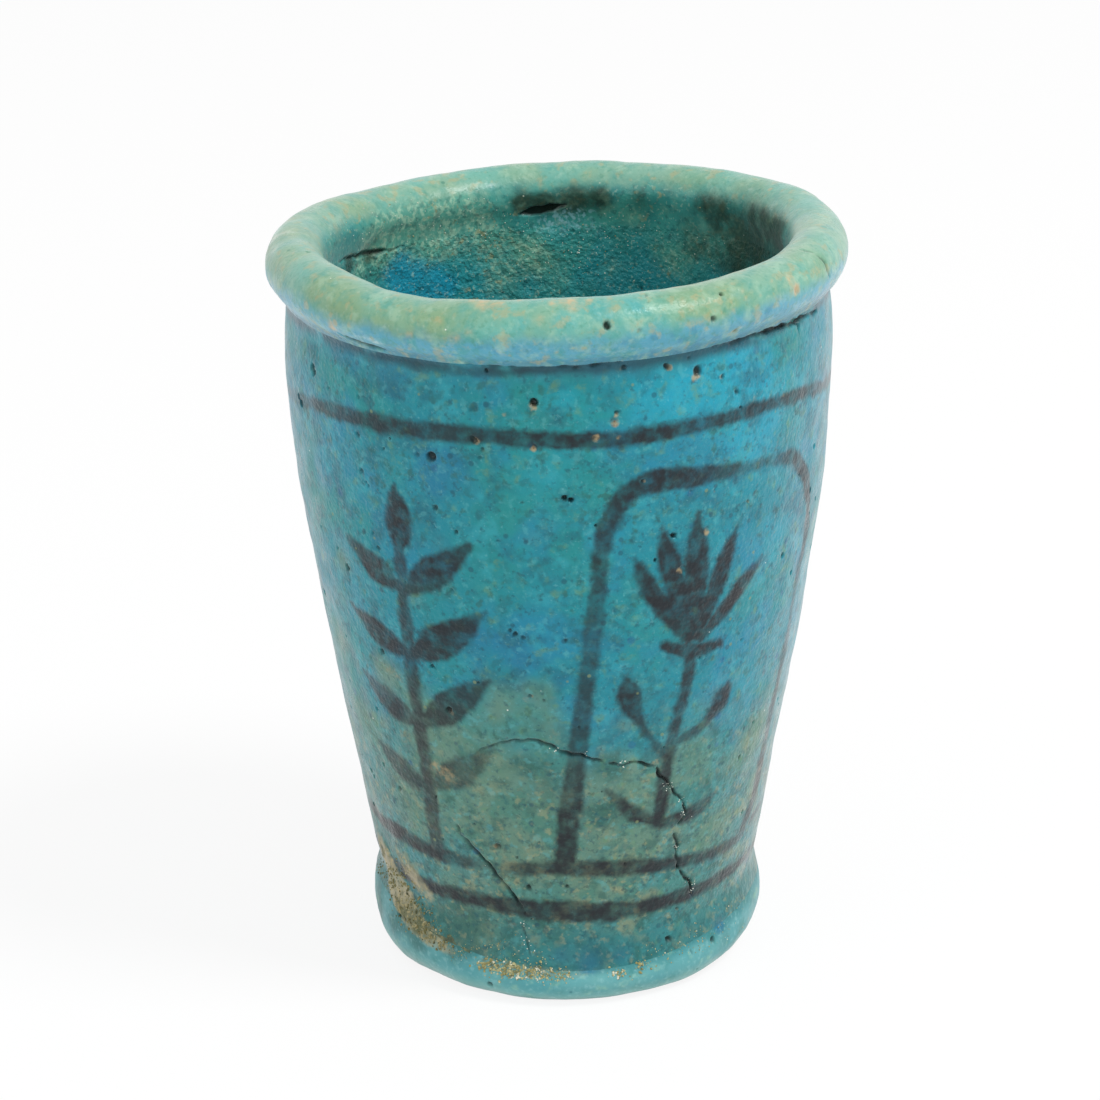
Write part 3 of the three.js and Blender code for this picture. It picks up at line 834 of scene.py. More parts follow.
def turned(outline, outward, shown, steps):
    """A closed outline turned round the Z axis. Each corner keeps its outward way and whether it shows."""
    mesh = bmesh.new()
    keep = [mesh.verts.layers.float.new(name) for name in ("out_r", "out_z", "shown")]
    ring = []
    for (r, z), out, is_shown in zip(outline, outward, shown):
        corner = mesh.verts.new((max(r, 0), 0, z))
        for layer, value in zip(keep, (*out, is_shown)):
            corner[layer] = value
        ring.append(corner)
    pairs = list(zip(ring, ring[1:]))
    if outline[0][0] > 0 or outline[-1][0] > 0:
        pairs.append((ring[-1], ring[0]))
    edges = [mesh.edges.new(pair) for pair in pairs]
    bmesh.ops.spin(
        mesh, geom=ring + edges, axis=(0, 0, 1), cent=(0, 0, 0), angle=math.tau, steps=steps, use_merge=True
    )
    bmesh.ops.remove_doubles(mesh, verts=mesh.verts, dist=1e-4)
    bmesh.ops.recalc_face_normals(mesh, faces=mesh.faces)
    return mesh


def coat(stretch, thickness):
    """A coat of glaze over one stretch of the outline, as a closed shell."""
    first, last = STRETCHES[stretch]
    shown = slice(first, last + 1)
    outer, out = OUTLINE[shown], OUTWARD[shown]
    hidden = [*range(len(outer) - 1, 0, -HIDDEN_EVERY), 0]
    inner = outer[hidden] - out[hidden] * thickness
    inner[outer[hidden][:, 0] < 1e-6, 0] = 0
    outline = np.vstack([outer, inner])
    outward = np.vstack([out, out[hidden]])
    return turned(outline, outward, [1] * len(outer) + [0] * len(inner), TURN_STEPS)


def subdivided(mesh, wanted):
    """Splits the showing edges whose places are wanted."""
    shown = mesh.verts.layers.float["shown"]
    mesh.verts.index_update()
    mark = wanted(uneven(places(mesh)))
    edges = [
        e for e in mesh.edges
        if all(v[shown] > 0.99 for v in e.verts) and any(mark[v.index] for v in e.verts)
    ]
    bmesh.ops.subdivide_edges(mesh, edges=edges, cuts=1, use_grid_fill=True)


# The inside begins halfway through the wall, over a width, and fades out under the crest of the lip
INSIDE_FADE = 0.8
CREST = 0.4
CREST_FADE = 1.6


def inside_share(points):
    """1 on the cavity's side of the lip and below it, and 0 on the outside."""
    radius, height = np.linalg.norm(points[:, :2], axis=1), points[:, 2]
    levels = np.linspace(FLOOR_Z, SEAT_Z, 30)
    halfway = np.array([(wall_r(z) + cavity_r(z)) / 2 for z in levels])
    middle = np.where(height > SEAT_Z, MOUTH_R - LIP_HALF_W, np.interp(height, levels, halfway))
    below = np.clip((LIP_TOP - CREST - height) / CREST_FADE, 0, 1)
    return np.clip((middle - radius) / INSIDE_FADE, 0, 1) * below * np.clip(height - FLOOR_Z + 2, 0, 1)


# The mesh is split finer so near to the edges of the paint and the painted shade, and twice near to pits and
# cracks, in mm
PAINT_REACH = 0.3
HOLE_REACHES = (0.4, 0.15)


def near_paint_and_shade(points):
    return np.abs(lines_distance(points, PAINT_AND_SHADE_LINES)[0]) < PAINT_REACH


def near_holes(reach):
    def wanted(points):
        return (pit_fields(points)[1] < reach) | (lines_distance(points, CRACKED)[0] < reach)
    return wanted


def finished(name, mesh, material):
    """The mesh as a piece of the scene that rides on the cup, in metres."""
    data = bpy.data.meshes.new(name)
    bmesh.ops.scale(mesh, verts=mesh.verts, vec=(MM, MM, MM))
    mesh.to_mesh(data)
    mesh.free()
    data.materials.append(material)
    piece = bpy.data.objects.new(name, data)
    bpy.context.scene.collection.objects.link(piece)
    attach(piece, BODY)
    return piece


def store(data, name, values):
    data.attributes.new(name, "FLOAT", "POINT").data.foreach_set("value", np.asarray(values, np.float32))


# Strength of the ochre in patches and in rims, and the depth in mm at which a hole is fully dark with painted
# shade
OCHRE_SHARE = 0.6
RIM_SHARE = 0.58
DARK_DEPTH = 0.3


def glazed_piece(stretch, thickness, name, node, material):
    """One coat of glaze: turned, split finer near its details, pushed into relief, marked for its colours."""
    mesh = coat(stretch, thickness)
    if stretch == "wall":
        subdivided(mesh, near_paint_and_shade)
    for reach in HOLE_REACHES:
        subdivided(mesh, near_holes(reach))
    out_r, out_z, shown = (mesh.verts.layers.float[key] for key in ("out_r", "out_z", "shown"))
    here = places(mesh)
    showing = np.array([v[shown] for v in mesh.verts])
    true = uneven(here)
    around = here[:, :2] / np.maximum(np.linalg.norm(here[:, :2], axis=1), 1e-6)[:, None]
    out = np.array([(v[out_r], v[out_z]) for v in mesh.verts])
    out = np.column_stack([around * out[:, :1], out[:, 1]])
    moved = true + out * (relief(true) * (showing > 0.99))[:, None]
    moved[:, 2] = np.maximum(moved[:, 2], 0)
    for vert, place in zip(mesh.verts, moved):
        vert.co = place
    for face in mesh.faces:
        face.smooth = all(v[shown] > 0.99 for v in face.verts)
    for edge in mesh.edges:
        edge.smooth = len({face.smooth for face in edge.link_faces}) == 1
    # The paint's lines include the painted shade below the lip
    paint_and_shade, load = lines_distance(true, PAINT_AND_SHADE_LINES)
    pit_depth, _, rim = pit_fields(torn(true, *PIT_TEAR))
    holes = np.maximum(pit_depth, crack_depth(true))
    streak, painted_glint = lines_distance(torn(true, *GLINT_TEAR), GLINTING)
    marks = {name: spots_cover(true, spots) for name, spots in PATCHED.items()}
    marks |= {
        "paint_and_shade": paint_and_shade,
        "load": load,
        "ochre": np.maximum(OCHRE_SHARE * marks["ochre"], RIM_SHARE * rim),
        "sandy": sand_cover(true),
        "inside": inside_share(here),
        "level": here[:, 2] / LIP_TOP,
        "painted_glint": painted_glint * np.clip(1 - streak / GLINT_FADE, 0, 1),
        # Painted shade in pits and cracks, darker as they are deeper
        "hole_shade": np.clip(holes / DARK_DEPTH, 0, 1),
    }
    piece = finished(name, mesh, material)
    for key, values in marks.items():
        store(piece.data, key, values * (showing > 0.5))
    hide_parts(node)
    return piece


# Materials

GLAZE_IOR = 1.34

# Fine wear that whitens the glaze where it is seen at a slant, and how widely
FROST = 0.3
FROST_WIDTH = 0.42
FROSTED_GLAZE = {"IOR": GLAZE_IOR, "Sheen Weight": FROST, "Sheen Roughness": FROST_WIDTH}


def colour(code):
    """An sRGB hex colour as linear red, green, blue and full alpha."""
    parts = [int(code[i:i + 2], 16) / 255 for i in (0, 2, 4)]
    return (*(c / 12.92 if c <= 0.04045 else ((c + 0.055) / 1.055) ** 2.4 for c in parts), 1)


def add(tree, kind, inputs=(), **settings):
    """Adds one shader node. inputs maps a socket's name or number to a value or to another node's output."""
    node = tree.nodes.new("ShaderNode" + kind)
    for key, value in settings.items():
        setattr(node, key, value)
    for key, value in dict(inputs).items():
        if isinstance(value, bpy.types.NodeSocket):
            tree.links.new(value, node.inputs[key])
        else:
            node.inputs[key].default_value = value
    return node


def new_material(name, *marks):
    """An empty material with its surface shader, its points' places, and the marks that its mesh carries."""
    material = bpy.data.materials.new(name)
    material.use_nodes = True
    tree = material.node_tree
    tree.nodes.clear()
    surface = add(tree, "BsdfPrincipled")
    add(tree, "OutputMaterial", {"Surface": surface.outputs[0]})
    here = add(tree, "TexCoord").outputs["Object"]
    marked = {mark: add(tree, "Attribute", attribute_name=mark).outputs["Fac"] for mark in marks}
    return material, tree, surface, here, marked


# Soft patches of a material: about how far across in mm, the levels of the noise that they fade in between,
# and the noise's detail and seed
Cloud = namedtuple("Cloud", "size low high detail seed")


def per(size):
    """The texture scale at which a pattern repeats about every so many millimetres."""
    return 1 / (size * MM)


def cloud(tree, here, size, low, high, detail=3.0, seed=0.0):
    """Soft patches about a size across: 0 below the low level of the noise, and 1 above the high one."""
    cloudy = add(
        tree, "TexNoise",
        {"Vector": here, "W": seed, "Scale": per(size), "Detail": detail},
        noise_dimensions="4D",
    )
    return add(
        tree, "MapRange", {"Value": cloudy.outputs["Fac"], "From Min": low, "From Max": high},
        interpolation_type="SMOOTHSTEP",
    ).outputs[0]


def specks(tree, here, spacing, radius, share):
    """Round specks of a radius: 1 inside and 0 outside. A share of the cells, a spacing apart, holds one."""
    cells = add(tree, "TexVoronoi", {"Vector": here, "Scale": per(spacing)})
    edge = radius / spacing
    inside = add(
        tree, "MapRange",
        {"Value": cells.outputs["Distance"], "From Min": edge, "From Max": edge / 2},
        interpolation_type="SMOOTHSTEP",
    )
    chosen = add(tree, "SeparateColor", {"Color": cells.outputs["Color"]})
    held = add(tree, "Math", {0: chosen.outputs[0], 1: share}, operation="LESS_THAN")
    return add(tree, "Math", {0: inside.outputs[0], 1: held.outputs[0]}, operation="MULTIPLY").outputs[0]


def layered(tree, here, start, layers):
    """Colours laid one over another. Each layer is (cover, strength, colour).

    A cover is an output, a Cloud, or a list of these, and then the layer lies where all of them do.
    A colour is a hex code or an output.
    """
    top = colour(start) if isinstance(start, str) else start
    for cover, strength, over in layers:
        weight = strength
        for part in cover if isinstance(cover, list) else [cover]:
            part = cloud(tree, here, *part) if isinstance(part, Cloud) else part
            weight = add(tree, "Math", {0: part, 1: weight}, operation="MULTIPLY").outputs[0]
        over = colour(over) if isinstance(over, str) else over
        top = add(tree, "Mix", {0: weight, 6: top, 7: over}, data_type="RGBA").outputs[2]
    return top


def broken(tree, cover, here, size, low=0.3, high=0.75):
    """A soft cover broken up by noise, so that its edge is ragged."""
    ragged = cloud(tree, here, size, 0.25, 0.75, 4.0)
    total = add(tree, "Math", {0: cover, 1: ragged, 2: cover}, operation="MULTIPLY_ADD")
    return add(
        tree, "MapRange", {"Value": total.outputs[0], "From Min": low, "From Max": high + 0.35},
        interpolation_type="SMOOTHSTEP",
    ).outputs[0]


# Edge of the paint and painted shade: size and reach in mm of its fine and its broad wander, and where it
# begins and is full
FINE_WANDER = (0.6, 0.5)
BROAD_WANDER = (2.6, 0.7)
PAINT_BEGINS = 0.92
PAINT_FULL = 0.3
THINNEST_PAINT = 0.62


def brushed_paint_and_shade(tree, here, marked):
    """Cover of the manganese paint and of the painted shade. Its edge sank into the glaze and its body is
    thin in places.
    """
    edge = marked["paint_and_shade"]
    for (size, reach), detail in ((FINE_WANDER, 4.0), (BROAD_WANDER, 2.0)):
        wander = add(tree, "TexNoise", {"Vector": here, "Scale": per(size), "Detail": detail}).outputs["Fac"]
        edge = add(tree, "Math", {0: wander, 1: reach, 2: edge}, operation="MULTIPLY_ADD").outputs[0]
    inside = add(
        tree, "MapRange", {"Value": edge, "From Min": PAINT_BEGINS, "From Max": PAINT_FULL},
        interpolation_type="SMOOTHSTEP",
    )
    body = cloud(tree, here, 1.2, 0.3, 0.62, 5.0, 3.0)
    thick = add(tree, "MapRange", {"Value": body, "To Min": THINNEST_PAINT, "To Max": 1.0})
    laid = add(tree, "Math", {0: inside.outputs[0], 1: marked["load"]}, operation="MULTIPLY")
    return add(tree, "Math", {0: laid.outputs[0], 1: thick.outputs[0]}, operation="MULTIPLY").outputs[0]


def grained_bump(tree, here, size, depth, fine_depth):
    """The quartz grain under the glaze as a bump, with lumps of a size and a finer grit on them."""
    lumps = add(tree, "TexNoise", {"Vector": here, "Scale": per(size), "Detail": 2.0})
    grit = add(tree, "TexNoise", {"Vector": here, "Scale": per(0.3), "Detail": 3.0})
    low = add(tree, "Bump", {"Height": lumps.outputs["Fac"], "Distance": depth * MM, "Strength": 1.0})
    return add(
        tree, "Bump",
        {"Height": grit.outputs["Fac"], "Distance": fine_depth * MM, "Strength": 1.0,
         "Normal": low.outputs[0]},
    ).outputs[0]


def shaded(material, surface, here, tone, grain, sockets):
    """The material with its tone, its bump (size, depth, fine depth) and what is the same all over."""
    tree = material.node_tree
    tree.links.new(tone, surface.inputs["Base Color"])
    tree.links.new(grained_bump(tree, here, *grain), surface.inputs["Normal"])
    for socket, value in sockets.items():
        surface.inputs[socket].default_value = value
    return material


def gloss(tree, surface, here, low, high, dull):
    """Satin glaze: roughness wanders between low and high, and is dull where a cover says so."""
    wander = cloud(tree, here, 1.8, 0.3, 0.7, 4.0, 7.0)
    satin = add(tree, "MapRange", {"Value": wander, "To Min": low, "To Max": high})
    rough = add(tree, "Mix", {0: dull, 2: satin.outputs[0], 3: 0.85})
    tree.links.new(rough.outputs[0], surface.inputs["Roughness"])


def raised(tree, here, level, low, high, ragged=2.0):
    """0 below a low height and 1 above a high one, in mm, or the other way round, with a ragged border."""
    wander = add(tree, "TexNoise", {"Vector": here, "Scale": per(2.2), "Detail": 4.0})
    height = add(tree, "Math", {0: level, 1: LIP_TOP, 2: -ragged / 2}, operation="MULTIPLY_ADD")
    height = add(
        tree, "Math", {0: wander.outputs["Fac"], 1: ragged, 2: height.outputs[0]}, operation="MULTIPLY_ADD"
    )
    return add(
        tree, "MapRange", {"Value": height.outputs[0], "From Min": low, "From Max": high},
        interpolation_type="SMOOTHSTEP",
    ).outputs[0]


def sanded(tree, here, marked, tone):
    """A tone under a dusty film of sand, olive where it is mossy, with paler and darker grains."""
    film = broken(tree, marked["sandy"], here, 1.2, 0.2, 0.9)
    edge = broken(tree, marked["sandy"], here, 2.0, 0.1, 0.5)
    return layered(tree, here, tone, [
        # Dusty film, paler where it is thick
        (film, 0.8, "a6a084"),
        ([film, Cloud(1.6, 0.42, 0.6, 4.0, 19.0)], 0.8, "bab196"),
        # Moss in it
        ([film, marked["mossy"]], 0.85, "565e40"),
        ([film, Cloud(1.0, 0.47, 0.62, 5.0, 18.0)], 0.75, "4c5638"),
        # Golden grains along its edge, and dark ones
        ([edge, Cloud(0.32, 0.52, 0.62, 2.0, 8.0)], 0.5, "b8a878"),
        ([film, specks(tree, here, 0.6, 0.14, 0.5)], 0.5, "3a4232"),
    ])


def cavity_tone(tree, here, marked):
    """Colours of the deep glaze of the cavity under its film of sand grains."""
    clean = broken(tree, marked["blue"], here, 1.5)
    film = broken(tree, marked["grainy"], here, 1.8, 0.2, 0.9)
    stain_and_shade = broken(tree, marked["stain_and_shade"], here, 1.6, 0.15, 0.9)
    return layered(tree, here, "2a929a", [
        # Drifts of green, most of them near the mouth
        (Cloud(5, 0.4, 0.62, 3.0, 2.0), 0.7, "449c90"),
        (raised(tree, here, marked["level"], 50, 57.5, 3), 0.55, "4fa08c"),
        (Cloud(2.0, 0.48, 0.68, 4.0, 5.0), 0.45, "1f727a"),
        (Cloud(9, 0.5, 0.66, 3.0, 25.0), 0.4, "3a7c68"),
        # Clean glaze, and the film of sand
        (clean, 0.9, "1c94b0"),
        (film, 0.62, "70b29a"),
        ([film, Cloud(0.45, 0.47, 0.6, 4.0, 8.0)], 0.7, "a8ceb2"),
        ([film, Cloud(0.7, 0.52, 0.64, 4.0, 10.0)], 0.45, "22605a"),
        # Grains that the film left in the whole cavity
        (Cloud(0.6, 0.56, 0.66, 4.0, 48.0), 0.42, "124c52"),
        (Cloud(0.3, 0.57, 0.68, 3.0, 9.0), 0.5, "a8c8b4"),
        ([Cloud(0.8, 0.58, 0.68, 4.0, 41.0), Cloud(4.0, 0.46, 0.6, 2.0, 49.0)], 0.6, "a8a070"),
        # Brown stain, and painted shade in the lee of the lip
        (stain_and_shade, 0.85, "28301f"),
        ([stain_and_shade, Cloud(0.6, 0.5, 0.66, 4.0, 27.0)], 0.5, "4d5a45"),
        # White specks and pale streaks that are painted glints, ochre, and painted shade in the holes
        (specks(tree, here, 0.9, 0.1, 0.16), 0.7, "cfd8c4"),
        (specks(tree, here, 1.5, 0.12, 0.2), 0.8, "e4eae0"),
        (broken(tree, marked["ochre"], here, 0.6), 0.7, "a08a5c"),
        ([marked["painted_glint"], Cloud(0.4, 0.48, 0.6, 4.0, 40.0)], 0.8, "9fd0da"),
        (marked["hole_shade"], 0.92, "150f08"),
    ])


def turquoise_glaze():
    """Copper-blue alkaline glaze, fired on quartz paste: satin, mottled from blue to sea green."""
    material, tree, surface, here, marked = new_material(
        "turquoise_alkaline_glaze",
        "paint_and_shade", "load", "level", "olive", "mossy", "ochre", "blue", "pale", "painted_glint", "sandy", "hole_shade",
    )
    level, hole_shade = marked["level"], marked["hole_shade"]
    coarse = Cloud(3.5, 0.4, 0.62, 4.0, 13.0)
    olive = broken(tree, marked["olive"], here, 3.0, 0.15, 0.8)
    low = raised(tree, here, level, 30, 10, 16)
    rusty = broken(tree, marked["ochre"], here, 0.7, 0.2, 0.6)
    tone = layered(tree, here, "0f8292", [
        # Drifts of sea green and blue
        (Cloud(9, 0.42, 0.62, 3.0, 2.0), 0.8, "158684"),
        (Cloud(5, 0.48, 0.64, 3.0, 4.0), 0.6, "167ea0"),
        (broken(tree, marked["blue"], here, 2.0), 0.6, "186e94"),
        # Paler glaze, and painted light on the right of the wall
        (broken(tree, marked["pale"], here, 2.0, 0.15, 0.9), 0.7, "179cb8"),
        # Darker and paler blotches
        (Cloud(2.2, 0.5, 0.68, 5.0, 5.0), 0.6, "0c586a"),
        (Cloud(1.8, 0.52, 0.68, 5.0, 10.0), 0.5, "309fac"),
        # Greyer and more olive towards the foot
        (low, 0.72, "42796e"),
        ([low, Cloud(3.2, 0.46, 0.62, 4.0, 30.0)], 0.6, "2a7f86"),
        (olive, 0.75, "67846c"),
        ([olive, Cloud(2.6, 0.48, 0.62, 4.0, 31.0)], 0.55, "2f766a"),
        ([low, Cloud(1.9, 0.52, 0.68, 5.0, 32.0)], 0.6, "8f906c"),
        (broken(tree, marked["mossy"], here, 1.6, 0.2, 0.9), 0.7, "24584e"),
        # Fine mottling, in more colours low down
        (Cloud(1.2, 0.56, 0.74, 5.0, 6.0), 0.6, "5f8c66"),
        ([low, Cloud(1.3, 0.5, 0.64, 5.0, 14.0)], 0.6, "1f544e"),
        ([low, Cloud(0.6, 0.54, 0.68, 5.0, 16.0)], 0.5, "9c9a72"),
        ([low, Cloud(0.45, 0.54, 0.66, 4.0, 33.0)], 0.5, "183f40"),
        # Coarser patches of grain
        ([coarse, Cloud(0.5, 0.45, 0.75, 5.0, 1.0)], 0.3, "4ea09c"),
        ([coarse, Cloud(1.0, 0.54, 0.66, 5.0, 17.0)], 0.6, "24584c"),
        (Cloud(1.0, 0.54, 0.66, 5.0, 46.0), 0.4, "155c62"),
        (Cloud(0.8, 0.56, 0.68, 5.0, 47.0), 0.3, "58acb0"),
        (Cloud(0.45, 0.56, 0.72, 3.0, 11.0), 0.5, "0b4655"),
        (Cloud(0.3, 0.6, 0.72, 3.0, 42.0), 0.2, "7cbcc0"),
        # Dark blue specks
        (specks(tree, here, 1.4, 0.3, 0.3), 0.55, "0b4456"),
        (specks(tree, here, 2.4, 0.45, 0.22), 0.5, "125a86"),
        # Painted reflection: paler under the lip. Painted shade: a dark line in the crease
        (raised(tree, here, level, 52.8, 55.4, 2.6), 0.4, "4796a8"),
        ([raised(tree, here, level, 53.7, 54.6, 0.8), Cloud(3.0, 0.36, 0.5, 3.0, 43.0)], 0.8, "1c4656"),
        # Deeper where it pooled above the foot
        (raised(tree, here, level, 8.0, 5.0, 2.0), 0.35, "1a6464"),
        ([marked["blue"], raised(tree, here, level, 7.0, 5.5)], 0.55, "0f5c7c"),
        # The paint, with the painted shade below the lip in its colour, and what lies over it
        (brushed_paint_and_shade(tree, here, marked), 0.98, "141a20"),
        (broken(tree, marked["ochre"], here, 0.4, 0.3, 0.5), 0.75, "b09a70"),
        ([rusty, Cloud(0.3, 0.5, 0.6, 3.0, 45.0)], 0.6, "6a4e34"),
        (specks(tree, here, 1.8, 0.2, 0.22), 0.6, "7c8a62"),
        # Painted glints: white specks and pale streaks
        (specks(tree, here, 2.2, 0.08, 0.3), 0.9, "e6ece4"),
        (broken(tree, marked["painted_glint"], here, 0.35, 0.35, 0.8), 0.6, "b9dade"),
    ])
    tone = sanded(tree, here, marked, tone)
    # Painted shade in the pits and cracks, darker as they are deeper
    tone = layered(tree, here, tone, [(hole_shade, 0.94, "061b1a")])
    gloss(tree, surface, here, 0.26, 0.44, marked["sandy"])
    return shaded(material, surface, here, tone, (1.2, 0.08, 0.05), FROSTED_GLAZE)


def celadon_glaze():
    """The same glaze gone milky on the lip: pale sea green, yellower in places. Its sky blue below is painted
    reflection, its dark crease painted shade.
    """
    material, tree, surface, here, marked = new_material(
        "milky_celadon_glaze",
        "level", "inside", "blush", "ochre", "blue", "grainy", "stain_and_shade", "painted_glint", "hole_shade",
    )
    inside = broken(tree, marked["inside"], here, 1.2, 0.3, 1.2)
    outside = add(tree, "Math", {0: 1.0, 1: marked["inside"]}, operation="SUBTRACT").outputs[0]
    blush = broken(tree, marked["blush"], here, 3.0, 0.1, 0.9)
    # Below the lip's crest, where a painted reflection lies
    painted_reflection_below = raised(tree, here, marked["level"], 58.3, 56.7, 2.4)
    tone = layered(tree, here, "7fab96", [
        # Drifts of green, yellow and blue
        (Cloud(7, 0.38, 0.66, 2.0, 2.0), 0.8, "5faa9e"),
        (Cloud(4, 0.44, 0.7, 3.0, 4.0), 0.5, "8ca47e"),
        (blush, 0.75, "7c9c72"),
        (Cloud(2.6, 0.5, 0.72, 3.0, 15.0), 0.5, "529f98"),
        (broken(tree, marked["blue"], here, 1.0, 0.2, 0.9), 0.7, "48a2a4"),
        # Painted reflection: sky blue underneath. Painted shade: dark in the crease
        ([outside, painted_reflection_below], 0.9, "529fb9"),
        ([outside, painted_reflection_below, Cloud(1.6, 0.5, 0.66, 4.0, 21.0)], 0.5, "7cb2b8"),
        ([outside, painted_reflection_below, Cloud(1.0, 0.52, 0.66, 4.0, 44.0)], 0.45, "367c9c"),
        ([outside, raised(tree, here, marked["level"], 55.9, 55.2, 0.8)], 0.45, "2a6478"),
        # Mottling from teal to buff
        (Cloud(1.4, 0.5, 0.68, 5.0, 5.0), 0.5, "3a948a"),
        (Cloud(1.1, 0.5, 0.68, 5.0, 6.0), 0.42, "a2c4aa"),
        (Cloud(0.9, 0.54, 0.68, 5.0, 12.0), 0.5, "a8a277"),
        (Cloud(0.4, 0.52, 0.7, 4.0, 22.0), 0.45, "4f8c74"),
        (Cloud(0.5, 0.52, 0.76, 5.0, 1.0), 0.2, "c4dac6"),
        # Ochre and teal specks, white specks and streaks that are painted glints, and painted shade in the
        # holes
        (broken(tree, marked["ochre"], here, 0.5, 0.12, 0.5), 0.85, "c8ad82"),
        (specks(tree, here, 2.4, 0.36, 0.2), 0.5, "b8a274"),
        (specks(tree, here, 1.6, 0.22, 0.26), 0.6, "267464"),
        (specks(tree, here, 2.2, 0.08, 0.3), 0.8, "eef2e8"),
        (broken(tree, marked["painted_glint"], here, 0.35, 0.35, 0.8), 0.6, "d4e6e0"),
        (marked["hole_shade"], 0.9, "0e2016"),
    ])
    tone = layered(tree, here, tone, [(inside, 1.0, cavity_tone(tree, here, marked))])
    gloss(tree, surface, here, 0.24, 0.4, 0.0)
    return shaded(material, surface, here, tone, (1.5, 0.08, 0.04), FROSTED_GLAZE)


def cavity_glaze():
    """Deep glaze of the cavity, dulled by a film of sand grains that the dry air left stuck in it."""
    material, tree, surface, here, marked = new_material(
        "sanded_deep_glaze", "level", "blue", "grainy", "stain_and_shade", "ochre", "painted_glint", "hole_shade"
    )
    tone = cavity_tone(tree, here, marked)
    sockets = {**FROSTED_GLAZE, "Sheen Weight": FROST / 3, "Roughness": 0.34}
    return shaded(material, surface, here, tone, (0.9, 0.26, 0.16), sockets)


def foot_glaze():
    """Thick glaze that ran down and pooled on the foot: pale milky blue, glassier than the wall."""
    material, tree, surface, here, marked = new_material(
        "pooled_sky_blue_glaze", "level", "blue", "mossy", "ochre", "sandy", "hole_shade"
    )
    tone = layered(tree, here, "5b9ca0", [
        # Milky drifts
        (Cloud(6, 0.4, 0.64, 2.0, 2.0), 0.4, "3f949c"),
        (Cloud(4, 0.44, 0.68, 2.0, 4.0), 0.5, "6eaaa8"),
        # Deeper towards the groove
        (raised(tree, here, marked["level"], 3.2, 4.4, 1.5), 0.75, "1f7074"),
        (broken(tree, marked["blue"], here, 1.2), 0.6, "12668c"),
        (broken(tree, marked["mossy"], here, 1.6, 0.2, 0.9), 0.7, "255c58"),
        # Mottling, palest at the lower edge
        (Cloud(1.5, 0.52, 0.7, 5.0, 5.0), 0.45, "2a7a72"),
        (raised(tree, here, marked["level"], 2.2, 1.0, 1.0), 0.5, "86b6ac"),
        (Cloud(0.9, 0.56, 0.72, 5.0, 6.0), 0.35, "9cc4a2"),
        (Cloud(0.4, 0.5, 0.72, 3.0, 1.0), 0.25, "a3d2d2"),
        # Ochre and teal specks
        (broken(tree, marked["ochre"], here, 0.4, 0.4), 0.7, "9a8655"),
        (specks(tree, here, 1.8, 0.2, 0.2), 0.5, "9c9464"),
        (specks(tree, here, 1.4, 0.18, 0.25), 0.5, "155f6a"),
    ])
    tone = sanded(tree, here, marked, tone)
    # Painted shade in the pits and cracks, darker as they are deeper
    tone = layered(tree, here, tone, [(marked["hole_shade"], 0.9, "0c2524")])
    gloss(tree, surface, here, 0.3, 0.46, marked["sandy"])
    return shaded(material, surface, here, tone, (1.4, 0.06, 0.03), {"IOR": GLAZE_IOR})


def quartz_paste():
    """Bare fired quartz paste: buff, gritty and dull, with pale quartz and rusty grains."""
    material, tree, surface, here, _ = new_material("fired_quartz_paste")
    tone = layered(tree, here, "c7b792", [
        (Cloud(5, 0.42, 0.62, 3.0, 2.0), 0.6, "ab9770"),
        (Cloud(0.6, 0.35, 0.7, 5.0, 1.0), 0.45, "e0d5b8"),
        (specks(tree, here, 1.2, 0.2, 0.3), 0.6, "8a6b45"),
        (specks(tree, here, 0.8, 0.12, 0.3), 0.6, "f2ead6"),
    ])
    return shaded(material, surface, here, tone, (0.7, 0.15, 0.1), {"Roughness": 0.92})


def paste_slurry():
    """The wet paste that luted the pieces together, fired: finer and browner than the paste."""
    material, tree, surface, here, _ = new_material("fired_paste_slurry")
    tone = layered(tree, here, "b3a27c", [
        (Cloud(3, 0.42, 0.62, 3.0, 2.0), 0.5, "94825c"),
        (Cloud(0.4, 0.35, 0.7, 5.0, 1.0), 0.4, "cdbf9c"),
    ])
    return shaded(material, surface, here, tone, (0.5, 0.08, 0.05), {"Roughness": 0.95})


def burial_sand(name, crust_colours, grain_colours):
    """Sand cemented by salts: golden, grey and clear quartz grains on a crust that took the glaze's green."""
    material, tree, surface, here, marked = new_material(name, "grain")
    ground, worn, dusty, damp = crust_colours
    golden, pale, grey, clear = grain_colours
    crust = layered(tree, here, ground, [
        (Cloud(1.8, 0.44, 0.6, 3.0, 6.0), 0.7, worn),
        (Cloud(0.5, 0.52, 0.62, 3.0, 7.0), 0.6, dusty),
        (Cloud(0.6, 0.52, 0.64, 3.0, 8.0), 0.5, damp),
    ])
    grain = layered(tree, here, golden, [
        (Cloud(0.7, 0.45, 0.55, 2.0, 2.0), 0.7, pale),
        (Cloud(0.5, 0.54, 0.62, 2.0, 4.0), 0.8, grey),
        (Cloud(0.4, 0.58, 0.64, 2.0, 5.0), 0.8, clear),
    ])
    tone = layered(tree, here, crust, [(marked["grain"], 1.0, grain)])
    return shaded(material, surface, here, tone, (0.3, 0.06, 0.04), {"Roughness": 0.8})


def salt_bloom():
    """Salt that crept out of the cracks: loose white crystals, dull and a little clear."""
    material, tree, surface, here, _ = new_material("salt_efflorescence")
    tone = layered(tree, here, "dfe4d8", [
        (Cloud(0.4, 0.45, 0.6, 2.0, 2.0), 0.6, "b9c8bc"),
        (Cloud(0.3, 0.52, 0.62, 2.0, 3.0), 0.5, "f6f6ee"),
    ])
    return shaded(material, surface, here, tone, (0.3, 0.05, 0.03), {"Roughness": 0.5})


# Underside

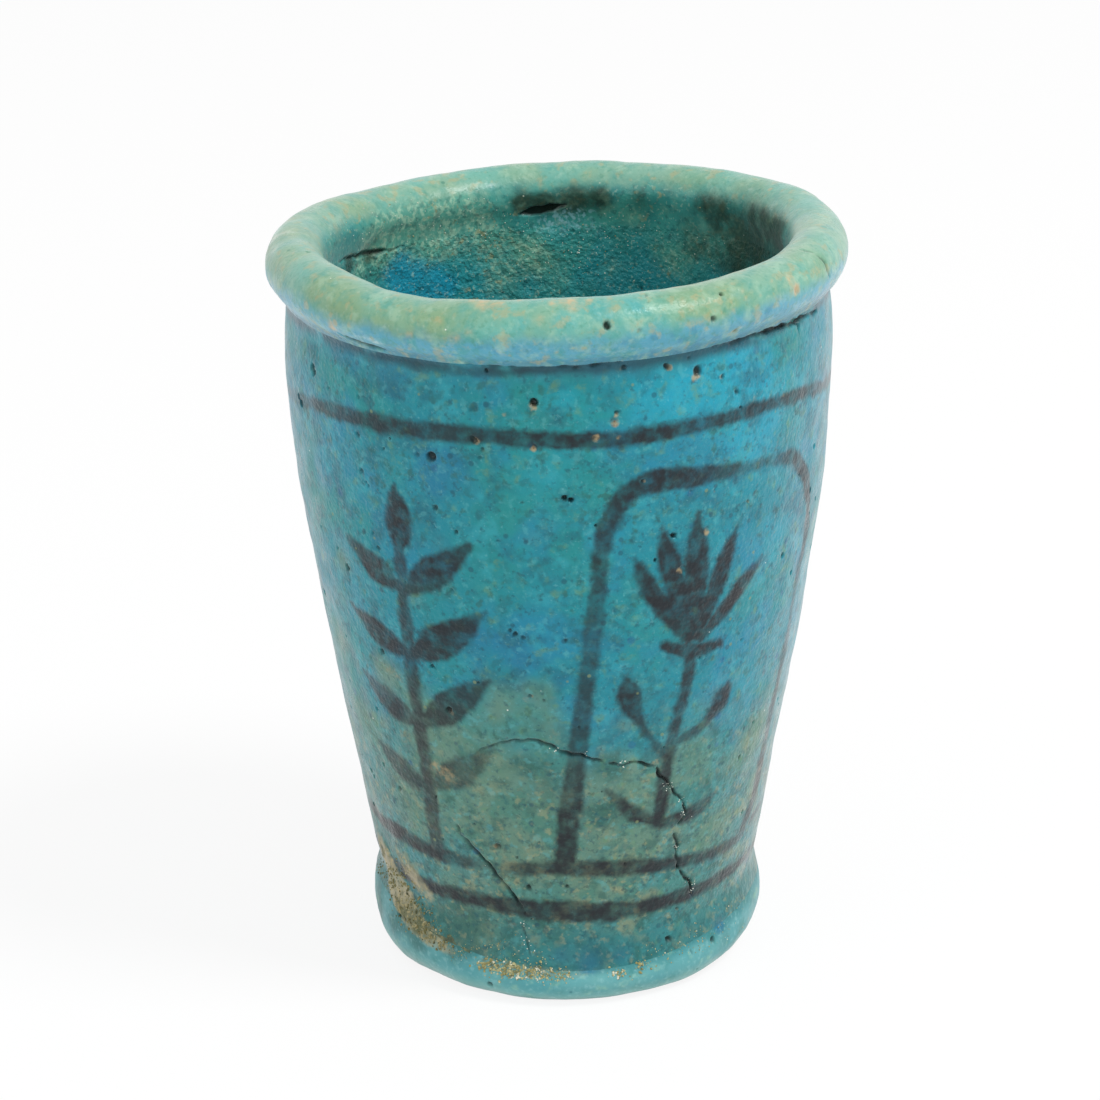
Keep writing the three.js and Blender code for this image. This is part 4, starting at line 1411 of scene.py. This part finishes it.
# Grit of the bare paste, each (size in mm, height in mm, seed), how far it rises, and its most
GRIT = [(1.1, 0.09, 8), (4.0, 0.1, 9), (0.5, 0.05, 10)]
GRIT_RISE = 0.12
GRIT_MOST = 0.3


def foot_underside(material):
    """The foot's disc of paste, with its bare rim, the ring that it stands on and the shallow hollow."""
    bottom_r = foot_edge_r(FOOT_BARE) - OUTER_GLAZE - FOOT_BEVEL
    seam_r = foot_edge_r(FOOT_H)
    socket_r = seam_r - OUTER_GLAZE - SOCKET_RIM
    heights = along(5, lambda t: lerp(FOOT_BARE, FOOT_H, t))
    edge = [(foot_edge_r(height) - OUTER_GLAZE, height) for height in heights]
    shown = [
        (0, HOLLOW_Z), (bottom_r - STANDING_RING - HOLLOW_Z, HOLLOW_Z), (bottom_r - STANDING_RING, 0),
        (bottom_r, 0), (foot_edge_r(FOOT_BARE) - OUTER_GLAZE, FOOT_BARE),
        (foot_edge_r(FOOT_BARE), FOOT_BARE),
    ]
    shown = evenly(shown, FINE)
    hidden = [*edge, (socket_r, FOOT_H), (socket_r, SOCKET_Z), (0, SOCKET_Z)]
    outline = np.vstack([shown, hidden])
    outward = np.zeros_like(outline)
    mesh = turned(outline, outward, [1] * len(shown) + [0] * len(hidden), TURN_STEPS // 2)
    showing = np.array([v[mesh.verts.layers.float["shown"]] for v in mesh.verts])
    here = uneven(places(mesh))
    here[:, 2] += np.clip(GRIT_RISE + lumpy(here, GRIT), 0, GRIT_MOST) * showing
    for vert, place in zip(mesh.verts, here):
        vert.co = place
    for face in mesh.faces:
        face.smooth = True
    piece = finished("foot_paste", mesh, material)
    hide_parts("foot_core")


# Sand

# Where the sand and the salt lie: x pixel, y pixel
SAND_LEFT = [
    (386, 866), (390, 874), (396, 884), (400, 896), (404, 908), (410, 920), (420, 930), (430, 938),
    (442, 946), (412, 900), (420, 912), (408, 886), (428, 924), (402, 872),
]
SAND_FRONT = [
    (488, 966), (500, 969), (508, 972), (516, 971), (524, 974), (534, 974), (544, 976), (552, 975),
    (566, 977), (482, 964), (494, 967), (504, 970), (516, 973), (538, 973), (620, 972), (645, 965),
    (512, 966), (530, 969), (498, 963),
]
SAND_STRAYS = [
    (460, 955), (668, 957), (684, 950), (700, 943), (716, 934), (730, 926), (470, 948), (655, 950),
    (500, 945), (515, 955), (540, 960), (440, 935), (690, 930), (735, 905),
]
SALT = [
    (553, 752), (586, 756), (622, 766), (668, 786), (680, 800), (684, 812), (676, 845), (690, 885),
    (524, 925), (526, 936), (529, 948), (487, 862),
]

# How deep the crust lies in the groove, and the radii of the grains on it, in mm. The grains spread less in
# height than across, because the groove is seen at a slant.
CRUST_SINK = 0.42
FORESHORTENING = 0.6
CRUST_GRAINS = (0.04, 0.05, 0.06, 0.08, 0.1, 0.14)

# Lumps of the crust, each (size, height) in mm
CRUST_LUMPS = [(1.4, 0.3), (0.6, 0.15)]


def add_grain(mesh, place, size, draw):
    """One sand grain: a small faceted lump, turned and stretched at random, and marked as a grain."""
    turn = Matrix.Rotation(draw.uniform(0, math.tau), 4, Vector((draw.gauss(0, 1), draw.gauss(0, 1), 1)))
    shape = Matrix.Diagonal((draw.uniform(0.7, 1.2), draw.uniform(0.7, 1.2), draw.uniform(0.6, 1), 1))
    made = bmesh.ops.create_icosphere(
        mesh, subdivisions=1, radius=size, matrix=Matrix.Translation(place) @ turn @ shape
    )
    grain = mesh.verts.layers.float["grain"]
    for vert in made["verts"]:
        vert[grain] = 1


def sand_crust(name, node, middles, per_middle, spread_px, material, dressed, seed):
    """Sand in the groove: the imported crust, roughened and split finer, with grains bedded in it."""
    mesh = bmesh.new()
    mesh.from_mesh(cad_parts[node].data)
    bmesh.ops.scale(mesh, verts=mesh.verts, vec=(1 / MM, 1 / MM, 1 / MM))
    bmesh.ops.remove_doubles(mesh, verts=mesh.verts, dist=1e-3)
    bmesh.ops.subdivide_edges(mesh, edges=mesh.edges, cuts=3, use_grid_fill=True)
    bmesh.ops.triangulate(mesh, faces=mesh.faces)
    mesh.verts.layers.float.new("grain")
    mesh.normal_update()
    here = places(mesh)
    rough = lumpy(here, [(*CRUST_LUMPS[0], seed), (*CRUST_LUMPS[1], seed + 1)]) - CRUST_SINK
    for vert, push in zip(mesh.verts, rough):
        vert.co += Vector((vert.co.x, vert.co.y, 0)).normalized() * push
    crust = BVHTree.FromBMesh(mesh)
    draw = random.Random(seed)
    for x, y in middles:
        for _ in range(per_middle):
            across, down = draw.gauss(0, spread_px), draw.gauss(0, spread_px * FORESHORTENING)
            place = seen_at(x + across, y + down, dressed, crust)
            if place:
                add_grain(mesh, place, draw.choice(CRUST_GRAINS), draw)
    piece = finished(name, mesh, material)
    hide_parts(node)


def loose_sand(name, middles, count, spread_px, sizes, material, dressed, seed):
    """Single grains stuck to the glaze round some photographed places."""
    mesh = bmesh.new()
    mesh.verts.layers.float.new("grain")
    draw = random.Random(seed)
    for _ in range(count):
        x, y = draw.choice(middles)
        place = seen_at(x + draw.gauss(0, spread_px[0]), y + draw.gauss(0, spread_px[1]), dressed)
        if place:
            add_grain(mesh, place, draw.choice(sizes), draw)
    finished(name, mesh, material)


# Where single grains lie in the cavity: x pixel, y pixel
CAVITY_SAND = [
    (370, 230), (420, 220), (460, 235), (500, 225), (520, 260), (560, 250), (600, 240), (640, 250),
    (690, 255),
]


# Stage

def soft_lamp(name, place, size, watts):
    data = bpy.data.lights.new(name, "AREA")
    data.shape = "DISK"
    data.size = size
    data.energy = watts
    lamp = bpy.data.objects.new(name, data)
    lamp.location = place
    lamp.rotation_euler = (Vector((0, 0, 0.03)) - Vector(place)).to_track_quat("-Z", "Y").to_euler()
    bpy.context.scene.collection.objects.link(lamp)


def bright_for_sight(tree):
    """1 for what the camera, a mirror or a clear thing sees directly."""
    path = add(tree, "LightPath")
    direct = add(
        tree, "Math",
        {0: path.outputs["Is Camera Ray"], 1: path.outputs["Is Glossy Ray"]},
        operation="MAXIMUM",
    )
    return add(
        tree, "Math", {0: direct.outputs[0], 1: path.outputs["Is Transmission Ray"]}, operation="MAXIMUM"
    ).outputs[0]


# Strength of the surround as a light, how much of the floor's own shading its white hides, and the floor's
# reach to each side in metres
SURROUND_LIGHT = 0.62
FLOOR_GLOW = 0.88
FLOOR_REACH = 3


def make_world():
    """A white surround, a little dimmer as a light than it looks."""
    world = bpy.data.worlds.new("studio")
    bpy.context.scene.world = world
    world.use_nodes = True
    tree = world.node_tree
    tree.nodes.clear()
    lamp = add(tree, "Background", {"Color": colour("ffffff"), "Strength": SURROUND_LIGHT})
    sight = add(tree, "Background", {"Color": colour("ffffff"), "Strength": 1.0})
    mixed = add(tree, "MixShader", {0: bright_for_sight(tree), 1: lamp.outputs[0], 2: sight.outputs[0]})
    add(tree, "OutputWorld", {"Surface": mixed.outputs[0]})


def make_floor():
    """A wide pale floor that keeps the cup's soft shadow."""
    mesh = bmesh.new()
    bmesh.ops.create_grid(mesh, x_segments=1, y_segments=1, size=FLOOR_REACH)
    data = bpy.data.meshes.new("floor")
    mesh.to_mesh(data)
    mesh.free()
    floor = bpy.data.objects.new("floor", data)
    bpy.context.scene.collection.objects.link(floor)
    material = bpy.data.materials.new("white_paper_sweep")
    material.use_nodes = True
    tree = material.node_tree
    tree.nodes.clear()
    paper = add(tree, "BsdfDiffuse", {"Color": colour("f4f4f4")})
    glow = add(tree, "Emission", {"Color": colour("ffffff"), "Strength": 1.0})
    share = add(tree, "Math", {0: bright_for_sight(tree), 1: FLOOR_GLOW}, operation="MULTIPLY")
    mixed = add(tree, "MixShader", {0: share.outputs[0], 1: paper.outputs[0], 2: glow.outputs[0]})
    add(tree, "OutputMaterial", {"Surface": mixed.outputs[0]})
    data.materials.append(material)


# The scene

make_camera()
make_world()
make_floor()
soft_lamp("key_lamp", (0.4, -0.2, 0.7), 0.24, 4.2)
soft_lamp("fill_lamp", (-0.6, -0.5, 0.3), 0.6, 1.2)

paste = quartz_paste()
slurry = paste_slurry()
sand = burial_sand(
    "cemented_desert_sand", ("4a8078", "7a7f58", "b89c54", "2f5a50"), ("8f8a5a", "b8b488", "5e6a50", "e4e4d2")
)
mossy_sand = burial_sand(
    "mossy_desert_sand", ("4c6450", "5f6248", "8f8660", "2c382a"), ("747048", "9c966c", "444c36", "c0bc9e")
)

outer, inner = OUTER_GLAZE - COAT_GAP, INNER_GLAZE - COAT_GAP
coats = [
    glazed_piece("wall", outer, "wall_glaze", "outer_glaze", turquoise_glaze()),
    glazed_piece("lip", outer, "rolled_lip_glaze", "lip_glaze", celadon_glaze()),
    glazed_piece("cavity", inner, "cavity_glaze", "inner_glaze", cavity_glaze()),
    glazed_piece("foot", outer, "foot_edge_glaze", "foot_glaze", foot_glaze()),
]
dressed = surface_of(*(coat.data for coat in coats))
foot_underside(paste)
sand_crust("sand_crust_left", "sand_left", SAND_LEFT, 28, 6, mossy_sand, dressed, 11)
sand_crust("sand_crust_front", "sand_front", SAND_FRONT, 30, 6, sand, dressed, 12)
loose_sand("stray_sand", SAND_STRAYS, 220, (9, 4), (0.03, 0.04, 0.05, 0.07), sand, dressed, 13)
salt = salt_bloom()
loose_sand("cavity_sand", CAVITY_SAND, 90, (24, 14), (0.04, 0.05, 0.07), sand, dressed, 14)
loose_sand("cavity_salt", CAVITY_SAND, 180, (30, 16), (0.03, 0.04, 0.05, 0.06), salt, dressed, 16)
loose_sand("salt_crumbs", SALT, 80, (3, 3), (0.03, 0.04, 0.05, 0.07), salt, dressed, 15)

for material, nodes in (
    (paste, ("body_core", "lip_core", "foot_core")),
    (slurry, ("lip_slurry", "foot_slurry", *COATS)),
    (sand, ("sand_left", "sand_front")),
):
    for node in nodes:
        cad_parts[node].data.materials.clear()
        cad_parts[node].data.materials.append(material)

bpy.context.scene.view_settings.view_transform = "Standard"
